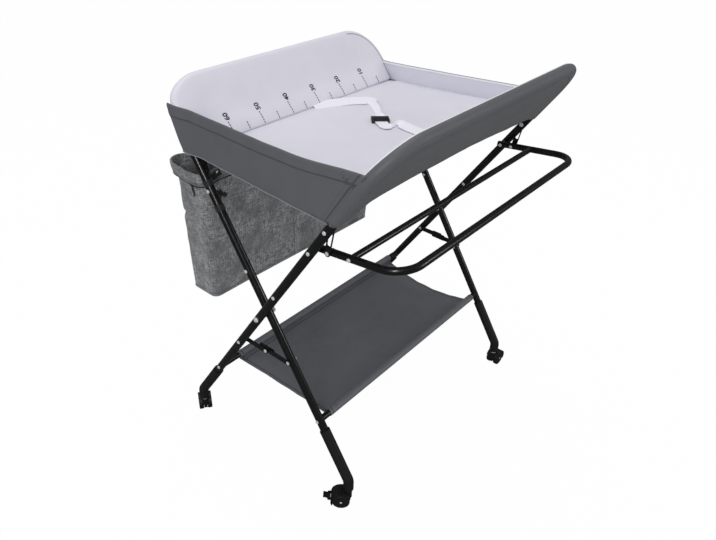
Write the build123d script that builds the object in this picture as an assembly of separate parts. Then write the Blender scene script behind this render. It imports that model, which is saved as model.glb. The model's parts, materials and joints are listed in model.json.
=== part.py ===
# Folding changing table on casters: two crossed tube frames, a padded tray with a ruler wall,
# a safety belt, a fold-up tub rack, a sling shelf and a hanging side bag.
# Millimetres. +Z up, the floor at z 0, X along the table, the user stands on the -Y side.
# The back frame has its rail at the back and its feet at the front, the front frame the reverse.
import os
from math import atan2, cos, degrees, hypot, radians, sin, tan

from build123d import *

os.makedirs("parts", exist_ok=True)

# Crossed frames
leg_angle = 33.6            # each frame leans this far from upright, in degrees
pivot_height = 470.0        # crossing bolt above the floor
inner_leg_x = 350.0         # leg axis of the back frame from the middle
tube_d = 20.0
tube_wall = 1.3
leg_gap = 10.0              # free space between the two legs of one end
back_rail_rise = 117.0      # rails over the tray's floor
front_rail_rise = 160.0
back_corner_radius = 100.0
front_corner_radius = 112.0
back_joint_drop = 78.0      # where the rails' ends plug into the legs, under the tray's floor
front_joint_drop = 18.0
spigot_length = 45.0
fit_clearance = 0.1         # parts pushed into each other
running_clearance = 0.08    # pins that turn in a hole
soft_clearance = 0.4        # cloth round a tube of another body
overrun = 5.0               # how far a cut runs past what it cuts

# Feet, stems and casters
bend_height = 85.0
sleeve_d = 26.0
sleeve_top_height = 205.0
elbow_radius = 26.0
elbow_bottom_height = 57.0
leg_end_height = 112.0
stem_d = 8.0
stem_bottom_height = 38.0
wheel_d = 44.0
wheel_width = 13.0
wheel_edge_radius = 3.0
hood_wall = 2.5
hood_gap = 1.5              # air between a wheel and its hood
hood_web = 9.0              # solid body between the two wheels
side_gap = 0.6              # air between a wheel and that body
hood_open_angle = 28.0      # how far the hood reaches past the axle's level, in degrees
caster_trail = 17.0
boss_d = 19.0
boss_top_height = 52.0
axle_d = 6.0
brake_width = 16.0
brake_length = 15.0
brake_thickness = 3.5
brake_hub_r = 4.0
brake_pin_d = 3.2
brake_ear = 3.0
brake_tilt = 14.0           # tab above level, in degrees
brake_edge_share = 0.4
caster_turns = {"front_left": 128.0, "back_left": 56.0, "front_right": 0.0, "back_right": 124.0}

# Rivets and bolts
rivet_d = 5.0
rivet_head_d = 9.0
rivet_head_height = 2.2
dome_share = 0.8            # part of a head's height that is rounded
leg_rivet_share = 0.34      # from the crossing bolt up to the back rail's joint
rail_rivet_drop = 12.0
bolt_d = 8.0
bolt_head_d = 13.0
bolt_head_height = 4.5
nut_height = 6.0
nut_sides = 6
insert_length = 14.0
stretcher_height = 228.0
stretcher_d = 16.0

# Folding braces
brace_drop = 107.0          # braces under the crossing bolt
bar_thickness = 2.0
bar_width = 14.0
bar_standoff = 1.6          # washer between a bar and its leg
catch_wall = 1.0
catch_length = 44.0
catch_back = 16.0           # catch rivet to the middle joint
catch_rise = 3.0            # catch's web over the bar's edge
catch_side_height = 18.0
catch_lip_height = 5.0
catch_side_gap = 0.3

# Tub rack
rack_pivot_drop = 94.0      # under the tray's floor
rack_tilt = 7.0             # arms rise this far from level, in degrees
rack_reach = 208.0          # pivot to the outer bar's axis
rack_d = 16.0
rack_wall = 1.2
rack_corner_radius = 55.0
rack_end = 9.0              # arm past its pivot
rack_side_gap = 4.0         # leg to arm, where the stay runs
crossbar_d = 14.0
crossbar_reach = 84.0
stay_thickness = 2.0
stay_width = 14.0
stay_slot_width = 9.0
stay_pivot_reach = 31.0     # arm pivot to the stay's pivot
stay_pin_drop = 30.0        # pin on the leg that the slot slides on, under the tray's floor
rack_lift = 36.0            # how far the rack folds up, in degrees
stay_slot_share = 0.5       # slot starts at this part of the pin's nearest reach
slot_spare = 1.5

# Tray
tray_height = 813.0
panel_thickness = 24.0
panel_edge_radius = 10.0
base_thickness = 9.0
end_wall_thickness = 4.0
end_wall_out = 6.0          # wall's middle outside the leg axis
end_top_back_rise = 84.0    # end walls' tops over the tray's floor
end_top_front_rise = 111.0
end_wall_lean = 5.5         # end walls lean in this far, in degrees
belt_width = 40.0
belt_thickness = 1.6
buckle_x = 60.0
buckle_y = 18.0
buckle_turn = -45.0         # the buckle lies turned this far from square, in degrees
belt_back_shares = ((0.14, 1.02), (0.37, 0.77))     # of the tray's half length and half width
belt_front_shares = ((0.1, -0.16), (0.13, -0.36), (0.24, -0.62), (0.32, -1.02))
buckle_length = 16.0
buckle_width = 44.0
buckle_height = 9.0
buckle_wall = 1.6
buckle_tongue_length = 10.0
prong_width = 5.0
buckle_slot = 3.0

# Shelf sling
sling_front_gap = 36.0      # leg of the back frame to the sling's corners
sling_back_gap = 28.0
sling_inset = 15.0          # depth of the hollow cut of the short edges
sling_thickness = 2.5
sling_sag = 24.0
sling_hem_wall = 2.0

# Side bag
bag_left_x = -336.0
bag_length = 606.0
bag_gap = 19.3              # back leg to the bag's rim
bag_depth = 104.0
bag_bottom_height = 392.0
bag_top_drop = 62.0         # bag's rim under the tray's floor
bag_wall = 3.0
bag_corner_radius = 22.0
bag_taper = 7.0
bag_floor = 4.0
cuff_height = 30.0
cuff_thickness = 3.5
board_thickness = 2.5
board_gap = 1.5
strap_width = 14.0
strap_thickness = 1.5
strap_drops = (12.0, 62.0)  # straps under the bag's rim
strap_tail = 44.0            # how far a strap lies along the bag
snap_d = 10.0
snap_height = 1.8

# Sizes that follow from the ones above
back_rail_height = tray_height + back_rail_rise
front_rail_height = tray_height + front_rail_rise
back_joint_height = tray_height - back_joint_drop
front_joint_height = tray_height - front_joint_drop
leg_rivet_height = pivot_height + leg_rivet_share * (back_joint_height - pivot_height)
brace_height = pivot_height - brace_drop
rack_pivot_height = tray_height - rack_pivot_drop
stay_pin_height = tray_height - stay_pin_drop
end_top_back_height = tray_height + end_top_back_rise
end_top_front_height = tray_height + end_top_front_rise
bag_top_height = tray_height - bag_top_drop
strap_heights = [bag_top_height - drop for drop in strap_drops]
tube_r = tube_d / 2
bore_r = tube_r - tube_wall
outer_leg_x = inner_leg_x + tube_d + leg_gap
sling_front_half = inner_leg_x - sling_front_gap
sling_back_half = inner_leg_x - sling_back_gap
lean = radians(leg_angle)
running_r = rivet_d / 2 + running_clearance
stretcher_r = stretcher_d / 2
rack_r = rack_d / 2
rack_x = outer_leg_x - tube_r - rack_side_gap - rack_r
stay_x = outer_leg_x - tube_r - rack_side_gap / 2
wheel_r = wheel_d / 2
hood_r = wheel_r + hood_gap + hood_wall
hood_width = hood_web + 2 * (side_gap + wheel_width)
panel_half = panel_thickness / 2
brake_x = caster_trail + hood_r + brake_hub_r + soft_clearance
brake_z = wheel_r + brake_hub_r


def along(height):
    """Distance from the crossing bolt along a leg to a height above the floor."""
    return (height - pivot_height) / cos(lean)


def leg_y(side, height):
    """y of a leg's axis at a height; side is 1 on the back frame and -1 on the front frame."""
    return side * tan(lean) * (height - pivot_height)


def frame_plane(side):
    """Plane of one frame: local x along the table, local y up along the legs."""
    return Plane(origin=(0, 0, pivot_height), x_dir=(1, 0, 0), z_dir=(0, -cos(lean), side * sin(lean)))


def in_frame(side, x, s, out=0):
    """Point in a frame's plane: s along the leg from the crossing, out off the plane."""
    return frame_plane(side).from_local_coords(Vector(x, s, out))


def leg_x(side):
    return inner_leg_x if side > 0 else outer_leg_x


def joint_along(side):
    """Where a frame's rail meets its legs."""
    return along(back_joint_height if side > 0 else front_joint_height)


def rod(start, end, radius, hole=0):
    """Straight round bar or tube between two points."""
    start, end = Vector(*start), Vector(*end)
    profile = Circle(radius) - Circle(hole) if hole else Circle(radius)
    return extrude(Plane(origin=start, z_dir=end - start) * profile, (end - start).length)


def pipe(path, radius, hole=0):
    """Round bar or tube along a bent path."""
    profile = Circle(radius) - Circle(hole) if hole else Circle(radius)
    return sweep(Plane(origin=path @ 0, z_dir=path % 0) * profile, path=path)


def across(center, x_from, x_to, radius):
    """Round bar along X through a point."""
    at = Vector(*center)
    return rod((x_from, at.Y, at.Z), (x_to, at.Y, at.Z), radius)


def head(center, x, sign, diameter, height):
    """Domed rivet head that stands out from x in the direction of sign."""
    cap = Cylinder(diameter / 2, height, align=(Align.CENTER, Align.CENTER, Align.MIN))
    rim = height * dome_share
    cap = fillet(cap.edges().sort_by(Axis.Z)[-1], rim)
    at = Vector(*center)
    return Plane(origin=(x, at.Y, at.Z), z_dir=(sign, 0, 0)) * cap


def rivet(center, x_from, x_to):
    """Through rivet with a head at each end; x_from is the nearer face to the middle."""
    sign = 1 if x_to > x_from else -1
    return [across(center, x_from, x_to, rivet_d / 2)
            + head(center, x_to, sign, rivet_head_d, rivet_head_height)
            + head(center, x_from, -sign, rivet_head_d, rivet_head_height)]


# Places that several pieces share
pivot_at = (0, 0, pivot_height)
rack_pivot_at = (0, leg_y(-1, rack_pivot_height), rack_pivot_height)
stay_pin_at = (0, leg_y(-1, stay_pin_height), stay_pin_height)
rack_turn = radians(rack_tilt)
rack_plane = Plane(origin=rack_pivot_at, x_dir=(1, 0, 0), z_dir=(0, sin(rack_turn), cos(rack_turn)))


def in_rack(x, reach, out=0):
    """Point in the rack's plane, reach measured from the arm's pivot towards the user."""
    return rack_plane.from_local_coords(Vector(x, -reach, out))


stay_pivot_at = in_rack(0, stay_pivot_reach)
brace_at = {side: (0, leg_y(side, brace_height), brace_height) for side in (1, -1)}
bag_inner_y = leg_y(1, bag_top_height) + tube_r + bag_gap


def rail_path(side, low, rail_height, radius):
    x, top = leg_x(side), along(rail_height)
    corners = [(-x, low), (-x, top), (x, top), (x, low)]
    return frame_plane(side) * FilletPolyline(*corners, radius=radius)


def rail(side):
    """Bent rail tube with a swaged spigot at each end."""
    height = back_rail_height if side > 0 else front_rail_height
    radius = back_corner_radius if side > 0 else front_corner_radius
    low = joint_along(side)
    tube = pipe(rail_path(side, low, height, radius), tube_r, bore_r)
    spigot_r = bore_r - fit_clearance
    rivet_at = in_frame(side, 0, low - rail_rivet_drop) if side > 0 else stay_pin_at
    for x in (-leg_x(side), leg_x(side)):
        ends = in_frame(side, x, low - spigot_length), in_frame(side, x, low + tube_wall)
        tube += rod(*ends, spigot_r, spigot_r - tube_wall)
        tube += rod(in_frame(side, x, low), ends[1], tube_r, spigot_r - tube_wall)
        tube -= across(rivet_at, x - tube_d, x + tube_d, rivet_d / 2)
    return tube


def leg_holes(side):
    """Cross holes of one leg: (point, radius)."""
    rivet_r = rivet_d / 2
    holes = [(in_frame(side, 0, along(leg_rivet_height)), rivet_r),
             (in_frame(side, 0, along(stretcher_height)), rivet_r),
             (brace_at[side], rivet_r)]
    if side > 0:
        holes += [(in_frame(side, 0, joint_along(side) - rail_rivet_drop), rivet_r), (pivot_at, bolt_d / 2)]
    else:
        holes += [(rack_pivot_at, rivet_r), (stay_pin_at, rivet_r)]
        holes.append((pivot_at, bolt_d / 2 + running_clearance))
    return holes


def leg(side, end):
    """One leg tube, drilled for its rivets."""
    x = end * leg_x(side)
    foot_end = in_frame(side, x, along(leg_end_height))
    tube = rod(foot_end, in_frame(side, x, joint_along(side)), tube_r, bore_r)
    for center, radius in leg_holes(side):
        tube -= across(center, x - tube_d, x + tube_d, radius)
    return tube


def stretcher(side):
    """Lower cross tube with saddle ends against the legs."""
    x = leg_x(side)
    y, z = leg_y(side, stretcher_height), stretcher_height
    tube = rod((-x, y, z), (x, y, z), stretcher_r, stretcher_r - tube_wall)
    for end in (-x, x):
        low, high = (in_frame(side, end, along(height)) for height in (leg_end_height, leg_rivet_height))
        tube -= rod(low, high, tube_r)
    return tube


def foot(side, end):
    """Sleeve that grips the leg's end and turns upright for the caster stem."""
    x = end * leg_x(side)
    top = in_frame(side, x, along(sleeve_top_height))
    bend = Vector(x, leg_y(side, bend_height), bend_height)
    bottom = Vector(x, bend.Y, elbow_bottom_height)
    path = FilletPolyline(top, bend, bottom, radius=elbow_radius)
    body = pipe(path, sleeve_d / 2)
    mouth = in_frame(side, x, along(sleeve_top_height) + overrun)
    body -= rod(in_frame(side, x, along(leg_end_height)), mouth, tube_r)
    stem_top = Vector(x, bend.Y, bend_height)
    return body - rod(bottom - Vector(0, 0, overrun), stem_top, stem_d / 2)


def foot_center(side, end):
    return Vector(end * leg_x(side), leg_y(side, bend_height), 0)


def caster_stem(side, end):
    """Turning pin held in the foot."""
    c = foot_center(side, end)
    pin = rod((c.X, c.Y, stem_bottom_height), (c.X, c.Y, bend_height), stem_d / 2)
    collar_top = elbow_bottom_height
    collar = rod((c.X, c.Y, boss_top_height + soft_clearance), (c.X, c.Y, collar_top), boss_d / 2)
    return pin + collar


def caster_place(side, end, turn):
    """Local frame of a caster: x trails back from the stem, z up, origin under the stem."""
    return Location(foot_center(side, end)) * Rotation(0, 0, turn)


def side_slab(low, high, radius, center_x=0):
    """Round disc across the caster, between two widths."""
    return rod((center_x, low, wheel_r), (center_x, high, wheel_r), radius)


def caster_hood(place, braked):
    """Hood over both wheels, the body between them and the stem boss."""
    half = hood_width / 2
    shell = side_slab(-half, half, hood_r, caster_trail)
    shell -= side_slab(-half - overrun, half + overrun, wheel_r + hood_gap, caster_trail)
    reach = 2 * hood_r
    floor_cut = Pos(caster_trail, 0, wheel_r) * Rotation(0, hood_open_angle, 0) * Box(
        2 * reach, 2 * half + 2 * overrun, reach, align=(Align.CENTER, Align.CENTER, Align.MAX))
    shell -= floor_cut
    body = side_slab(-hood_web / 2, hood_web / 2, wheel_r + hood_gap, caster_trail)
    body -= Pos(caster_trail, 0, wheel_r - axle_d) * Box(
        2 * reach, hood_web + overrun, reach, align=(Align.CENTER, Align.CENTER, Align.MAX))
    boss = rod((0, 0, wheel_r + axle_d), (0, 0, boss_top_height), boss_d / 2)
    boss -= side_slab(hood_web / 2, half + overrun, wheel_r + hood_gap, caster_trail)
    boss -= side_slab(-half - overrun, -hood_web / 2, wheel_r + hood_gap, caster_trail)
    hood = shell + body + boss
    stem_low = stem_bottom_height - fit_clearance
    hood -= rod((0, 0, stem_low), (0, 0, boss_top_height + overrun), stem_d / 2 + running_clearance)
    hood -= side_slab(-half, half, axle_d / 2, caster_trail)
    if braked:
        hood += brake_ears()
    return place * hood


def caster_wheels(place):
    """The two wheels of a caster, each bored for the axle."""
    wheels = []
    low = hood_web / 2 + side_gap
    for sign in (-1, 1):
        start, end = sorted((sign * low, sign * (low + wheel_width)))
        wheel = side_slab(start, end, wheel_r, caster_trail)
        wheel = fillet(wheel.edges(), wheel_edge_radius)
        wheel -= side_slab(start - overrun, end + overrun, axle_d / 2 + running_clearance, caster_trail)
        wheels.append(place * wheel)
    return wheels


def caster_axle(place):
    half = hood_web / 2 + side_gap + wheel_width
    return place * side_slab(-half, half, axle_d / 2, caster_trail)


def brake_ears():
    """Two ears behind the hood and the pin between them."""
    half = brake_width / 2 + fit_clearance
    ears = None
    for sign in (-1, 1):
        low, high = sorted((sign * half, sign * (half + brake_ear)))
        ear = rod((brake_x, low, brake_z), (brake_x, high, brake_z), brake_hub_r)
        foot = Pos(brake_x, low, brake_z) * Box(
            brake_hub_r + hood_wall, brake_ear, 2 * brake_hub_r, align=(Align.MAX, Align.MIN, Align.CENTER))
        ears = ear + foot if ears is None else ears + ear + foot
    ears -= side_slab(-hood_width / 2, hood_width / 2, wheel_r + hood_gap, caster_trail)
    return ears + rod((brake_x, -half, brake_z), (brake_x, half, brake_z), brake_pin_d / 2)


def brake_lever(place):
    """Foot tab behind the hood, on its pin."""
    barrel = rod((brake_x, -brake_width / 2, brake_z), (brake_x, brake_width / 2, brake_z), brake_hub_r)
    tab = Pos(brake_x, 0, brake_z) * Rotation(0, -brake_tilt, 0) * Box(
        brake_length, brake_width, brake_thickness, align=(Align.MIN, Align.CENTER, Align.CENTER))
    tab = fillet(tab.edges().filter_by(Axis.Y), brake_thickness * brake_edge_share)
    hole_r = brake_pin_d / 2 + running_clearance
    hole = rod((brake_x, -brake_width, brake_z), (brake_x, brake_width, brake_z), hole_r)
    return place * (barrel + tab - hole)


def frame_fasteners(side):
    """Rivets, stretcher bolts and their inserts of one frame."""
    solids = []
    for end in (-1, 1):
        x = end * leg_x(side)
        near, far = x - end * tube_r, x + end * tube_r
        solids += rivet(in_frame(side, 0, along(leg_rivet_height)), near, far)
        if side > 0:
            solids += rivet(in_frame(side, 0, joint_along(side) - rail_rivet_drop), near, far)
        at = in_frame(side, 0, along(stretcher_height))
        insert_x = near - end * insert_length
        bolt = across(at, insert_x, far, rivet_d / 2) + head(at, far, end, rivet_head_d, rivet_head_height)
        start = near - end * tube_wall
        insert = across(at, insert_x, start, stretcher_r - tube_wall)
        insert -= across(at, insert_x, start, rivet_d / 2)
        solids += [bolt, insert]
        solids += brace_leg_rivet(side, end)
        if side < 0:
            solids += rack_leg_pins(end)
    return solids


def brace_layer(side, end):
    """x faces of the brace bar that hangs on a frame's leg: (leg side, gap side)."""
    face = end * (inner_leg_x + tube_r) if side > 0 else end * (outer_leg_x - tube_r)
    step = end if side > 0 else -end
    return face + step * bar_standoff, face + step * (bar_standoff + bar_thickness)


def brace_leg_rivet(side, end):
    """Rivet that a brace bar turns on, with its washer."""
    at = brace_at[side]
    leg_face, gap_face = brace_layer(side, end)
    x = end * leg_x(side)
    step = 1 if gap_face > leg_face else -1
    other = x - step * tube_r
    wash_r = rivet_head_d / 2
    face = x + step * tube_r
    tail = gap_face + step * running_clearance
    pin = across(at, other, tail, rivet_d / 2)
    pin += head(at, other, -step, rivet_head_d, rivet_head_height)
    pin += across(at, tail, tail + step * catch_wall, wash_r)
    washer = across(at, face, leg_face - step * running_clearance, wash_r)
    washer -= across(at, face, leg_face, rivet_d / 2)
    return [pin, washer]


def rack_leg_pins(end):
    """Arm pivot rivet with its spacer, and the headed pin of the stay's slot."""
    outer = end * (outer_leg_x + tube_r)
    inner = end * (outer_leg_x - tube_r)
    arm_in = end * (rack_x - rack_r)
    pin = across(rack_pivot_at, arm_in - end * running_clearance, outer, rivet_d / 2)
    pin += head(rack_pivot_at, outer, end, rivet_head_d, rivet_head_height)
    pin += head(rack_pivot_at, arm_in - end * running_clearance, -end, rivet_head_d, rivet_head_height)
    spacer = across(rack_pivot_at, inner, end * (rack_x + rack_r + running_clearance), rivet_head_d / 2)
    spacer -= across(rack_pivot_at, inner, end * rack_x, rivet_d / 2)
    stay_in = end * (stay_x - stay_thickness / 2 - running_clearance)
    slide = across(stay_pin_at, stay_in, outer, rivet_d / 2)
    slide += head(stay_pin_at, outer, end, rivet_head_d, rivet_head_height)
    slide += across(stay_pin_at, stay_in - end * catch_wall, stay_in, stay_width / 2 - tube_wall)
    return [pin, spacer, slide]


def pivot_bolt(end):
    """Crossing bolt through both legs, with its nut on the inside."""
    outer = end * (outer_leg_x + tube_r + running_clearance)
    inner = end * (inner_leg_x - tube_r)
    bolt = across(pivot_at, inner - end * nut_height, outer, bolt_d / 2)
    bolt += head(pivot_at, outer, end, bolt_head_d, bolt_head_height)
    nut_plane = Plane(origin=(inner, 0, pivot_height), z_dir=(-end, 0, 0))
    nut = extrude(nut_plane * RegularPolygon(bolt_head_d / 2, nut_sides), nut_height)
    nut -= across(pivot_at, inner - end * (nut_height + overrun), inner + end * overrun, bolt_d / 2)
    return [bolt, nut]


def pivot_washer(end):
    """Spacer ring between the two legs."""
    low = end * (inner_leg_x + tube_r)
    high = end * (outer_leg_x - tube_r - running_clearance)
    ring = across(pivot_at, low, high, bolt_head_d / 2)
    return ring - across(pivot_at, low - end * overrun, high + end * overrun, bolt_d / 2 + fit_clearance)


def brace_bar(side, end):
    """Flat bar from its leg rivet to the middle joint."""
    x_from, x_to = brace_layer(side, end)
    start = brace_at[side]
    length = abs(start[1])
    toward = 1 if start[1] < 0 else -1
    flat = Plane(origin=(min(x_from, x_to), start[1], start[2]), x_dir=(0, toward, 0), z_dir=(toward, 0, 0))
    outline = Pos(length / 2, 0) * SlotCenterToCenter(length, bar_width)
    hole = Circle(running_r) + Pos(length, 0) * Circle(rivet_d / 2)
    if side > 0:
        hole += Pos(length - catch_back, 0) * Circle(rivet_d / 2)
    bar = extrude(flat * (outline - hole), toward * bar_thickness)
    return [bar] + back_brace_pins(end) if side > 0 else bar


def back_brace_pins(end):
    """Back half of the middle joint, and the pin that the catch turns on."""
    middle = (0, 0, brace_height)
    catch_at = (0, -catch_back, brace_height)
    leg_face, gap_face = brace_layer(1, end)
    front_bar_face = brace_layer(-1, end)[1]
    joint = across(middle, leg_face, gap_face, rivet_d / 2)
    joint += across(middle, gap_face, front_bar_face - end * catch_side_gap, rivet_head_d / 2)
    plate_face = end * (inner_leg_x + tube_r + catch_side_gap)
    return [joint, across(catch_at, plate_face, gap_face, rivet_d / 2)]


def front_brace_rivet(end):
    """Front half of the middle joint: it fills the front bar's hole, with its head outside."""
    middle = (0, 0, brace_height)
    leg_face, gap_face = brace_layer(-1, end)
    pin = across(middle, gap_face, leg_face, rivet_d / 2)
    return pin + head(middle, leg_face, end, rivet_head_d, rivet_head_height)


def brace_catch(end):
    """Hook over the back bar at the middle joint: a side plate, a top web and a short lip."""
    low = inner_leg_x + tube_r + catch_side_gap
    high = abs(brace_layer(-1, end)[1]) - catch_side_gap
    top = bar_width / 2 + catch_rise
    width = high - low
    start = -catch_back - bar_width / 2
    web_length = catch_length - bar_width
    place = Pos(end * (low + high) / 2, start, brace_height + top)
    catch = Pos(0, bar_width, 0) * Box(
        width, web_length, catch_wall, align=(Align.CENTER, Align.MIN, Align.MIN))
    for sign, length, height in ((-1, catch_length, catch_side_height), (1, web_length, catch_lip_height)):
        plate = Box(catch_wall, length, height, align=(Align.CENTER, Align.MIN, Align.MAX))
        catch += Pos(sign * end * (width - catch_wall) / 2, catch_length - length, catch_wall) * plate
    hole_at = (0, -catch_back, brace_height)
    hole = across(hole_at, end * (low - overrun), end * (high + overrun), running_r)
    return place * catch - hole


def rack_frame():
    """U-shaped carrying tube of the tub rack."""
    corners = [(-rack_x, rack_end), (-rack_x, -rack_reach), (rack_x, -rack_reach), (rack_x, rack_end)]
    path = rack_plane * FilletPolyline(*corners, radius=rack_corner_radius)
    tube = pipe(path, rack_r, rack_r - rack_wall)
    tube -= across(rack_pivot_at, -outer_leg_x, outer_leg_x, running_r)
    tube -= across(stay_pivot_at, -outer_leg_x, outer_leg_x, rivet_d / 2)
    return tube


def rack_crossbar():
    """Straight tube between the rack's arms, with saddle ends."""
    bar_r = crossbar_d / 2
    bar = rod(in_rack(-rack_x, crossbar_reach), in_rack(rack_x, crossbar_reach), bar_r, bar_r - rack_wall)
    for x in (-rack_x, rack_x):
        bar -= rod(in_rack(x, 0), in_rack(x, 2 * crossbar_reach), rack_r)
    return bar


def rack_rivets():
    """Stay pivots and crossbar rivets of the rack."""
    solids = []
    for end in (-1, 1):
        inner = end * (rack_x - rack_r)
        stay_out = end * (stay_x + stay_thickness / 2 + running_clearance)
        pin = across(stay_pivot_at, inner, stay_out, rivet_d / 2)
        pin += head(stay_pivot_at, inner, -end, rivet_head_d, rivet_head_height)
        pin += across(stay_pivot_at, stay_out, stay_out + end * catch_wall / 2, rivet_head_d / 2)
        tube_face, stay_face = end * (rack_x + rack_r), end * (stay_x - stay_thickness / 2)
        spacer = across(stay_pivot_at, tube_face, stay_face, rivet_head_d / 2)
        spacer -= across(stay_pivot_at, end * rack_x, end * outer_leg_x, rivet_d / 2)
        bar_at = in_rack(tube_face, crossbar_reach)
        solids += [pin, spacer, head(bar_at, tube_face, end, rivet_head_d, rivet_head_height)]
    return solids


def stay_angle(lift):
    """Direction from the stay's pivot to the slot pin, and their distance, at a lift of the rack."""
    turn = radians(rack_tilt + lift)
    y = stay_pin_at[1] - (rack_pivot_at[1] - stay_pivot_reach * cos(turn))
    z = stay_pin_at[2] - (rack_pivot_at[2] + stay_pivot_reach * sin(turn))
    return degrees(atan2(z, y)), hypot(y, z)


def stay(end):
    """Slotted link that carries the rack's load and slides when it folds up."""
    angle, long_reach = stay_angle(0)
    short_reach = stay_angle(rack_lift)[1]
    flat = Plane(origin=(end * stay_x - stay_thickness / 2, stay_pivot_at.Y, stay_pivot_at.Z),
                 x_dir=(0, cos(radians(angle)), sin(radians(angle))), z_dir=(1, 0, 0))
    slot_start = stay_slot_share * short_reach
    slot_end = long_reach + slot_spare
    reach = slot_end + (stay_width - stay_slot_width) / 2
    outline = Pos(reach / 2, 0) * SlotCenterToCenter(reach, stay_width)
    slot_run = slot_end - slot_start
    slot = Pos((slot_start + slot_end) / 2, 0) * SlotCenterToCenter(slot_run, stay_slot_width)
    cut = slot + Circle(running_r)
    return extrude(flat * (outline - cut), stay_thickness)


def panel(side):
    """Padded wall stretched over a rail, with a channel for the tube."""
    height = back_rail_height if side > 0 else front_rail_height
    radius = back_corner_radius if side > 0 else front_corner_radius
    x, top, low = leg_x(side) + panel_half, along(height) + panel_half, along(tray_height)
    outline = make_face(Polyline((-x, low), (-x, top), (x, top), (x, low), close=True))
    corners = outline.vertices().group_by(Axis.Y)[-1]
    outline = fillet(corners, radius + panel_half)
    wall = extrude(outline, panel_half, both=True)
    rims = wall.edges().filter_by(lambda e: e.center().Y > low + overrun).group_by(Axis.Z)
    wall = fillet(rims[0] + rims[-1], panel_edge_radius)
    wall = frame_plane(side) * wall
    bore = pipe(rail_path(side, low - overrun, height, radius), tube_r + fit_clearance)
    return wall - bore


def crease(side, height):
    """y where a padded wall's inner face meets a level."""
    return leg_y(side, height) - side * (panel_half + soft_clearance) / cos(lean)


def end_wall_x(y, height):
    """x of the right end wall's middle: it spreads towards the front and leans in at the top."""
    low_back, low_front = crease(1, tray_height), crease(-1, tray_height)
    spread = (outer_leg_x - inner_leg_x) * (low_back - y) / (low_back - low_front)
    return inner_leg_x + end_wall_out + spread - (height - tray_height) * tan(radians(end_wall_lean))


def tray_base():
    """Firm pad of the tray between the four walls."""
    low = tray_height - base_thickness
    half_wall = end_wall_thickness / 2 + fit_clearance

    def outline(height):
        corners = []
        for side, end in ((1, 1), (1, -1), (-1, -1), (-1, 1)):
            y = crease(side, height)
            corners.append((end * (end_wall_x(y, height) - half_wall), y, height))
        return make_face(Polyline(*corners, close=True))

    return loft([outline(low), outline(tray_height)], ruled=True)


def end_panel(end):
    """Cloth wall between the frames at one end of the tray."""
    low = tray_height - base_thickness
    corners = []
    for side, height in ((1, low), (1, end_top_back_height), (-1, end_top_front_height), (-1, low)):
        y = crease(side, height)
        corners.append(Vector(end * end_wall_x(y, height), y, height))
    face = make_face(Polyline(*corners, close=True))
    return extrude(face, end_wall_thickness / 2, both=True)


def belt_level():
    return tray_height + fit_clearance


def buckle_place():
    return Pos(buckle_x, buckle_y, belt_level()) * Rotation(0, 0, buckle_turn)


def buckle_socket():
    """Hollow half of the belt buckle, open towards the tongue."""
    keep = (Align.CENTER, Align.MIN, Align.MIN)
    shell = Box(buckle_width, buckle_length, buckle_height, align=keep)
    shell = fillet(shell.edges().filter_by(Axis.Y), buckle_wall)
    hollow = Box(buckle_width - 2 * buckle_wall, buckle_length, buckle_height - 2 * buckle_wall, align=keep)
    return buckle_place() * (shell - Pos(0, -buckle_wall, buckle_wall) * hollow)


def buckle_tongue():
    """Pronged half of the belt buckle, with the bar its webbing goes round."""
    gap = soft_clearance
    inner_width = buckle_width - 2 * (buckle_wall + gap)
    depth = buckle_length - 2 * buckle_wall - gap
    prong_height = buckle_height - 2 * (buckle_wall + gap)
    body = Pos(0, -gap, 0) * Box(
        buckle_width, buckle_tongue_length - gap, buckle_height, align=(Align.CENTER, Align.MAX, Align.MIN))
    body = fillet(body.edges().filter_by(Axis.Z), buckle_wall)
    slot_y = -buckle_tongue_length + 2 * buckle_wall
    body -= Pos(0, slot_y, -overrun) * Box(
        buckle_width - 4 * buckle_wall, buckle_slot, buckle_height + 2 * overrun,
        align=(Align.CENTER, Align.MIN, Align.MIN))
    for spot in (-1, 0, 1):
        prong = Box(prong_width, depth + gap, prong_height, align=(Align.CENTER, Align.MIN, Align.MIN))
        body += Pos(spot * (inner_width - prong_width) / 2, -gap, buckle_wall + gap) * prong
    return buckle_place() * body


def belt_strap(side):
    """White webbing from a tray crease to its half of the buckle."""
    half_length, half_width = inner_leg_x, abs(crease(1, tray_height))
    shares = belt_back_shares if side > 0 else reversed(belt_front_shares)
    route = [Vector(x * half_length, y * half_width) for x, y in shares]
    turn = radians(buckle_turn)
    reach = (buckle_length if side > 0 else buckle_tongue_length) + fit_clearance
    route.append(Vector(buckle_x - side * reach * sin(turn), buckle_y + side * reach * cos(turn)))
    strap = None
    level = Pos(0, 0, belt_level())
    for start, end in zip(route, route[1:]):
        length = (end - start).length
        run = Box(length, belt_width, belt_thickness, align=(Align.MIN, Align.CENTER, Align.MIN))
        run = level * Plane(origin=start, x_dir=end - start, z_dir=(0, 0, 1)).location * run
        strap = run if strap is None else strap + run
        if end is not route[-1]:
            elbow = Cylinder(belt_width / 2, belt_thickness, align=(Align.CENTER, Align.CENTER, Align.MIN))
            strap += level * Pos(end.X, end.Y, 0) * elbow
    outward = Align.MIN if side > 0 else Align.MAX
    inward = Align.MAX if side > 0 else Align.MIN
    past_crease = Box(2 * outer_leg_x, belt_width, overrun, align=(Align.CENTER, outward, Align.CENTER))
    past_buckle = Box(2 * belt_width, belt_width, overrun, align=(Align.CENTER, inward, Align.CENTER))
    strap -= level * Pos(0, crease(side, tray_height), 0) * past_crease
    return strap - buckle_place() * Pos(0, side * reach, 0) * past_buckle


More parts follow.
